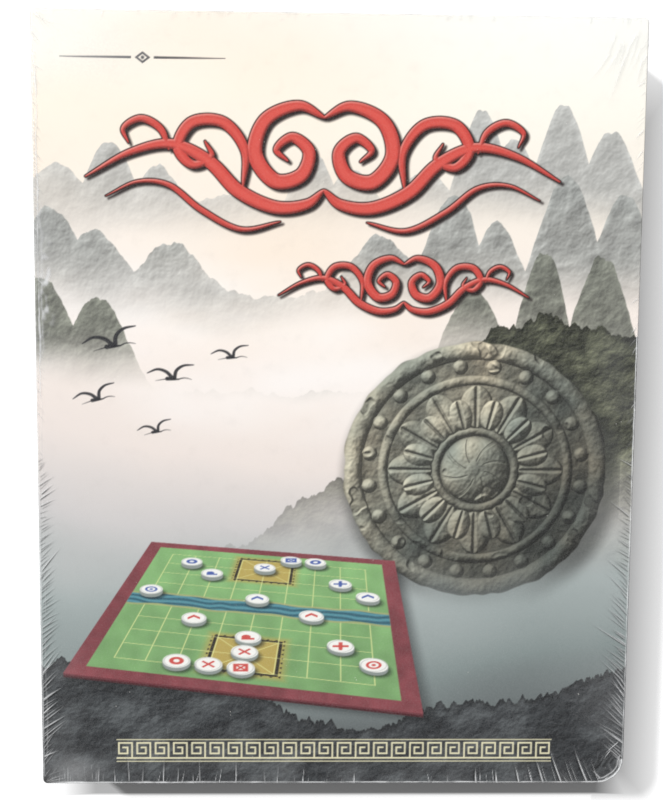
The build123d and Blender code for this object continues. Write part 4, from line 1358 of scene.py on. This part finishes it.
def board_print():
    """Playing surface of one leaf: half the river, the ranks up to it and a palace."""
    mat = Material("board_print")
    gold, black, sand, line = "C2A45A", "33302A", "A9A878", "ECEEC0"
    out, side = mat.x - FOLD_X, abs(mat.y)
    fine, wobble = mat.noise(0.5, 2), mat.noise(5, 2) * 0.5
    field = mat.most(out - FIELD[0], side - FIELD[1])
    on_field = mat.step(field, 0.1, -0.1)
    ranks_only = mat.step(out, BANK - 0.4, BANK - 0.2) * mat.step(out, LAST_RANK + 0.4, LAST_RANK + 0.2)
    rank = mat.step(mat.math("PINGPONG", out - BANK, PITCH / 2), 0.42, 0.22) \
        * mat.step(side, LAST_FILE + 0.35, LAST_FILE + 0.15) * ranks_only
    file = mat.step(mat.math("PINGPONG", side, PITCH / 2), 0.42, 0.22) * ranks_only \
        * mat.step(side, LAST_FILE + 0.45, LAST_FILE + 0.3)
    palace = mat.most(abs(out - PALACE_X), side)
    cross = mat.step(abs(abs(out - PALACE_X) - side), 0.6, 0.3) * mat.step(palace, PITCH, PITCH - 0.2)
    lines = mat.most(mat.most(rank, file), cross)
    # Corner ticks at the cannons' and soldiers' points.
    for u0, vs in ((BANK + 2 * PITCH, (3 * PITCH,)), (BANK + PITCH, (0.0, 2 * PITCH, LAST_FILE))):
        for v0 in vs:
            du, dv = abs(out - u0), abs(side - v0)
            near, wide = mat.least(du, dv), mat.most(du, dv)
            tick = mat.step(abs(near - 2.0), 0.38, 0.2) * mat.step(wide, 6.3, 6.1) * mat.step(wide, 1.7, 1.9)
            if v0 == LAST_FILE:
                tick = tick * mat.step(side, LAST_FILE, LAST_FILE - 0.2)
            lines = mat.most(lines, tick)
    wall = mat.step(abs(palace - (PITCH + 2.2)), 1.1, 0.9)
    teeth = mat.step(abs(palace - (PITCH + 4.2)), 0.9, 0.7)
    for slant in (mat.y + out, mat.y - out):
        teeth = teeth * mat.step(mat.waves(slant, 3.2), 0.45, 0.55)
    shore = out - BANK + 1.2 + (mat.waves(mat.y, 17.0) + mat.waves(mat.y, 7.3) * 0.5) * 1.2
    ripple = mat.waves(out + mat.waves(mat.y, 11.0) * 1.5 + wobble * 3.0, 3.4)
    mat.tone(
        "7C3F45", (mat.step(mat.noise(12, 3), 0.4, 0.7) * 0.6, "8C4C52"),
        (mat.step(abs(field - 1.6), 0.5, 0.3), gold),
        (on_field, mat.blend(mat.step(mat.noise(18, 3), 0.35, 0.7), "659560", "78A873")),
        (mat.step(palace, 42.0, 29.0) * 0.85, gold), (mat.most(wall, teeth), black), (lines, line),
        (mat.step(shore, 1.6, 0.6) * on_field, sand),
        (mat.step(shore, 0.3, -0.3) * on_field, mat.blend(ripple, "2F5A68", "5E97A4")),
        (mat.step(fine, 0.4, 0.9) * 0.07, "FFFFFF"))
    mat.rough(0.34, 0.5, mat.noise(8, 3)).relief(fine + mat.noise(0.25, 1) * 0.5, 0.012)
    return mat.plain(Coat_Weight=0.25, Coat_Roughness=0.2)


ROUNDEL_Y, BAND_Y, SPINE_X = 30.0, -96.0, -88.4


def book_card():
    """The book's cover: cream card, a slate spine strip, a roundel of rings and a band of squares."""
    mat, red, slate, cream = Material("book_card"), "C0433C", "40474A", "EFE3CC"
    grain, cloud = mat.noise(0.3, 2), mat.noise(22, 4)
    r = mat.math("SQRT", mat.math("POWER", mat.x, 2.0) + mat.math("POWER", mat.y - ROUNDEL_Y, 2.0))
    ring = mat.most(mat.step(abs(r - 46.0), 1.6, 1.3), mat.step(abs(r - 41.5), 0.5, 0.3))
    boss = mat.step(r, 17.3, 16.9) * mat.step(abs(r - 13.0), 0.4, 0.7)
    band = mat.step(abs(mat.y - BAND_Y), 6.4, 6.2)
    square = mat.most(mat.math("PINGPONG", mat.x, 6.0), abs(mat.y - BAND_Y)) - 3.4
    outline = mat.step(square, 0.5, 0.2) * mat.step(square, -0.9, -0.6)
    spine = mat.step(mat.x, SPINE_X + 0.2, SPINE_X - 0.2)
    worn = mat.step(mat.most(abs(mat.x) - 103.3, abs(mat.y) - 135.8) + mat.noise(1.2, 3) * 1.2, 0.25, 0.75)
    mat.tone(cream, (mat.step(cloud, 0.4, 0.75) * 0.5, "E6D2B4"),
             (mat.step(mat.y + cloud * 30, -40, -120) * 0.75, "A7B0AC"), (ring, red), (boss, red),
             (band, slate), (outline * band, cream), (spine, slate),
             (mat.step(grain, 0.4, 0.9) * 0.08, "FFFFFF"), (worn * 0.7, "F4EFE4"))
    mat.rough(0.30, 0.5, cloud).relief(grain, 0.012)
    return mat.plain(Coat_Weight=0.3, Coat_Roughness=0.15)


def leaflet_paper():
    """The folded rules sheet: thin paper, with two plain grey grids of points and lines, and painted shade
    along its fold.
    """
    mat = Material("leaflet_paper")
    fibre, half_square = fibres(mat, 0.4), 6.0
    u, v = mat.x + 29.0, mat.y
    inside = mat.most(abs(u) - 48.0, abs(abs(v) - 60.0) - 42.0)
    grid = mat.most(*(mat.step(mat.math("PINGPONG", along, half_square), 0.28, 0.16) for along in (u, v)))
    # Painted shade along the fold, where the sheet also dips.
    crease = mat.step(abs(v + mat.noise(9, 2) * 0.6 - 0.3), 0.5, 0.1)
    mat.tone("EFEBDF", (mat.step(fibre, 0.45, 0.8) * 0.35, "E0DACB"),
             (mat.step(mat.noise(30, 3), 0.45, 0.8) * 0.3, "E2DBC8"),
             (grid * mat.step(inside, 0.1, -0.1) * 0.7, "5B6468"),
             (mat.step(abs(inside - 1.0), 0.5, 0.3) * 0.8, "5B6468"), (crease * 0.35, "BDB5A2"))
    mat.rough(0.7, 0.9, fibre).relief(fibre + crease * -2.0, 0.02)
    return mat.plain(Specular_IOR_Level=0.3)


def playing_piece(name, top, ink):
    """White moulded discs, with colour wiped into the marks cut in their faces, which lie at `top` mm."""
    mat = Material(name)
    facing, split = mat.node("ShaderNodeNewGeometry"), mat.node("ShaderNodeSeparateXYZ")
    turned = mat.node("ShaderNodeVectorTransform", vector_type="NORMAL", convert_from="WORLD",
                      convert_to="OBJECT")
    mat.tree.links.new(facing.outputs["Normal"], turned.inputs[0])
    mat.tree.links.new(turned.outputs[0], split.inputs[0])
    up = mat.step(Value(mat, split.outputs[2]), 0.6, 0.8)
    cut = up * mat.step(mat.z, top - 0.15, top - 0.25) * mat.step(mat.z, top - 0.7, top - 0.6)
    swirl, fine = mat.noise(1, 3, 0.6, mat.stretched(9, 5, 4)), mat.noise(0.5, 2)
    scratch = mat.step(mat.noise(1, 2, at=mat.stretched(10, 0.15, 3, 0.9)), 0.66, 0.72)
    mat.tone("F1EFE8", (mat.step(swirl, 0.45, 0.75) * 0.4, "E4E1D6"), (scratch * 0.4, "DAD6CA"),
             (mat.step(fine, 0.72, 0.78) * 0.3, "B5B0A4"), (cut, mat.blend(mat.noise(1.4, 3), *ink)))
    mat.rough(0.20, 0.42, swirl * 0.5 + scratch * 0.6).relief(swirl * 0.6 + fine * 0.4, 0.02)
    return mat.plain(Subsurface_Weight=0.12, Subsurface_Scale=0.0015, Specular_IOR_Level=0.5)


# ---------------------------------------------------------------- hinge cloth
def hinge_cloth():
    """The strip that hinges the board's leaves: flat on both backs and round the spine between."""
    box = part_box("board_hinge_cloth")
    (left, low_y, low_z), (right, high_y, high_z) = ([v / MM for v in corner] for corner in box)
    thick, ease, middle = 0.15, 0.3, (low_z + high_z) / 2

    def section(inset):
        r = ease - inset
        points = [(right - k * (right - left - ease) / 14, low_z + inset) for k in range(14)]
        points += [(left + ease - r * np.sin(t), low_z + ease - r * np.cos(t))
                   for t in np.linspace(0, np.pi / 2, 5)]
        points += [(left + inset, z) for z in np.linspace(low_z + ease, middle, 7)[1:]]
        return points + [(x, 2 * middle - z) for x, z in points[-2::-1]]

    outer, inner = section(0.0), section(thick)
    loop = outer + inner[::-1]
    rows = np.linspace(low_y, high_y, 136)
    rng = np.random.default_rng(5)
    fray = np.convolve(rng.uniform(-1, 1, len(rows) + 6), np.ones(7) / 7, "valid") * 0.35
    co = []
    for y, pull in zip(rows, fray):
        for x, z in loop:
            near_end = np.clip((x - right + 2.0) / 2.0, 0, 1)
            co.append((x - near_end * (0.2 + pull if z < middle else 0.2 - pull), y, z))
    n, m, k = len(loop), len(rows), np.arange(len(outer) - 1)
    cap = np.stack([k, k + 1, n - 2 - k, n - 1 - k], 1)
    return build("hinge_cloth", co, [quads(m, n), cap[:, ::-1], cap + (m - 1) * n], smooth_faces=False)


# ---------------------------------------------------------------- the pieces
cover = cover_paper()
cover_print().on(cover)
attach(cover, "lid")
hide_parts("lid_wrap")

film = film_over_lid()
clear_film("shrink_film").on(film)
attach(film, "lid")
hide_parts("lid_film")

hinge = hinge_cloth()
cloth("hinge_cloth", "3A2023", "5C3236", 0.55).on(hinge)
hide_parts("board_hinge_cloth")
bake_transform(hinge)

greyboard().on("lid_board", "base_board", "board_core_lower", "board_core_upper")
kraft_tape().on("lid_corner_stays", "base_corner_stays")
base_paper().on("base_wrap")
clear_film("shrink_film_below").on("base_film")
formed_plastic().on("insert_tray")
cloth("board_backing", "6A3239", "82444A", 0.7).on("board_back_lower", "board_back_upper")
board_print().on("board_face_lower", "board_face_upper")
book_card().on("book_cover")
paper("book_paper", "EFE8D6", "DDD3BC", 0.6).on("book_pages")
leaflet_paper().on("rules_leaflet")
# Each set of discs: how high its marked faces lie in mm, and the colours of its marks.
for set_name, top, ink in (("blue", 25.2, ("34479A", "4459AE")), ("red", 29.2, ("B9342F", "CB4B44"))):
    pieces = [name for name in nodes if name.startswith(set_name + "_")]
    playing_piece(set_name + "_piece", top, ink).on(*pieces)

# ---------------------------------------------------------------- stage
FLOOR_COLOUR, FLOOR_Z, FLOOR_REACH = (0.45, 0.45, 0.453, 1), -0.0003, 4
GLOW, SIDE_SHADOW_GLOW = 0.67, 0.25           # how white the floor is to the camera; at the painted shadow beside the case
MIRRORED = 0.3                         # the share of the white surroundings that shiny things mirror
WORLD_LIGHT = 0.31
FOCAL = 900 / 800                      # of the picture's height
COVER_TURN, COVER_PLACE = (4.54, 1.14, -0.46), (2.5, -4.2, -336.7)     # as the camera has it: degrees; mm


def joined(tree, operation, first, *others):
    """One math node after another over several values."""
    for other in others:
        node = tree.nodes.new("ShaderNodeMath")
        node.operation = operation
        tree.links.new(first, node.inputs[0])
        tree.links.new(other, node.inputs[1])
        first = node.outputs[0]
    return first


def seen(tree, mirrored):
    """1 for rays that show the background itself, straight or through glass, and less for mirrored ones."""
    path = tree.nodes.new("ShaderNodeLightPath").outputs
    return joined(tree, "MAXIMUM", between(tree, path["Is Glossy Ray"], 0, 1, 0, mirrored),
                  path["Is Camera Ray"], path["Is Transmission Ray"])


def between(tree, value, start, end, low, high):
    """`low` up to start and `high` from end on, in a straight line between."""
    node = tree.nodes.new("ShaderNodeMapRange")
    tree.links.new(value, node.inputs["Value"])
    for name, number in (("From Min", start), ("From Max", end), ("To Min", low), ("To Max", high)):
        node.inputs[name].default_value = number
    return node.outputs[0]


def outside(tree, axes, sides, dim, bright):
    """`dim` inside a rectangle on the floor, rising to `bright` beyond each of its sides."""
    return joined(tree, "MAXIMUM", *[between(tree, axes.outputs[axis], start, end, dim, bright)
                                     for axis, start, end in sides])


def stage_floor():
    """A pale matt floor, which glows white for the camera but casts no light of its own, and glows less in a
    painted shadow beyond the foot and the right side.
    """
    data = bpy.data.materials.new("floor")
    data.use_nodes = True
    tree = data.node_tree
    tree.nodes.clear()
    make, link = tree.nodes.new, tree.links.new
    matt, glow, add = (make("ShaderNode" + kind) for kind in ("BsdfDiffuse", "Emission", "AddShader"))
    matt.inputs["Color"].default_value = FLOOR_COLOUR
    place, axes, reach = (make("ShaderNode" + kind) for kind in ("TexCoord", "SeparateXYZ", "VectorMath"))
    reach.operation = "LENGTH"
    for node in (axes, reach):
        link(place.outputs["Object"], node.inputs[0])
    # Painted shadow: it glows less just beyond the foot and the right side, where the case keeps the light
    # off it, and more far away.
    foot = outside(tree, axes, (("Y", -0.140, -0.120), ("Y", -0.1655, -0.1668), ("X", 0.112, 0.130),
                                ("X", -0.100, -0.116)), 0, GLOW)
    side = outside(tree, axes, (("X", 0.112, 0.110), ("X", 0.122, 0.140), ("Y", 0.110, 0.140),
                                ("Y", -0.155, -0.175)), SIDE_SHADOW_GLOW, GLOW)
    clear = joined(tree, "MAXIMUM", joined(tree, "MINIMUM", foot, side),
                   between(tree, reach.outputs["Value"], 0.5, 2.0, 0, 1.0))
    link(joined(tree, "MULTIPLY", seen(tree, MIRRORED), clear), glow.inputs["Strength"])
    link(matt.outputs[0], add.inputs[0])
    link(glow.outputs[0], add.inputs[1])
    link(add.outputs[0], make("ShaderNodeOutputMaterial").inputs["Surface"])
    mesh = bpy.data.meshes.new("floor")
    square = [(x * FLOOR_REACH, y * FLOOR_REACH, FLOOR_Z) for x, y in ((-1, -1), (1, -1), (1, 1), (-1, 1))]
    mesh.from_pydata(square, [], [(0, 1, 2, 3)])
    mesh.materials.append(data)
    floor = bpy.data.objects.new("floor", mesh)
    bpy.context.scene.collection.objects.link(floor)


def area_lamp(name, place, aim, size, watts):
    light = bpy.data.lights.new(name, "AREA")
    light.shape, light.size, light.size_y, light.energy = "RECTANGLE", *size, watts
    lamp = bpy.data.objects.new(name, light)
    lamp.location = place
    lamp.rotation_euler = (Vector(aim) - Vector(place)).to_track_quat("-Z", "Y").to_euler()
    bpy.context.scene.collection.objects.link(lamp)


stage_floor()
area_lamp("key", (-2.95, 2.50, 3.70), (0, 0, 0), (0.33, 0.33), 272)
area_lamp("card", (-1.50, 1.98, 3.90), (-0.08, 0.12, 0), (0.60, 0.36), 9)
area_lamp("fill", (2.7, -1.05, 3.6), (0, 0, 0), (2.7, 2.7), 18)
world = bpy.data.worlds.new("studio")
world.use_nodes = True
background = world.node_tree.nodes["Background"]
background.inputs["Color"].default_value = (1, 1, 1, 1)
tree = world.node_tree
tree.links.new(between(tree, seen(tree, MIRRORED), 0, 1, WORLD_LIGHT, 1.0), background.inputs["Strength"])
bpy.context.scene.world = world

camera_data = bpy.data.cameras.new("camera")
camera_data.sensor_fit = "VERTICAL"
camera_data.sensor_height = camera_data.sensor_width = 36.0
camera_data.lens = FOCAL * camera_data.sensor_height
camera_data.clip_start, camera_data.clip_end = 0.01, 50
camera = bpy.data.objects.new("camera", camera_data)
turn = Vector(COVER_TURN) * (np.pi / 180)
to_camera = Matrix.Rotation(turn.length, 4, turn.normalized())
to_camera.translation = Vector(COVER_PLACE) * MM
camera.matrix_world = Matrix.Translation((0, 0, CASE_H * MM)) @ to_camera.inverted()
bpy.context.scene.collection.objects.link(camera)
bpy.context.scene.camera = camera
bpy.context.scene.view_settings.view_transform = "Standard"
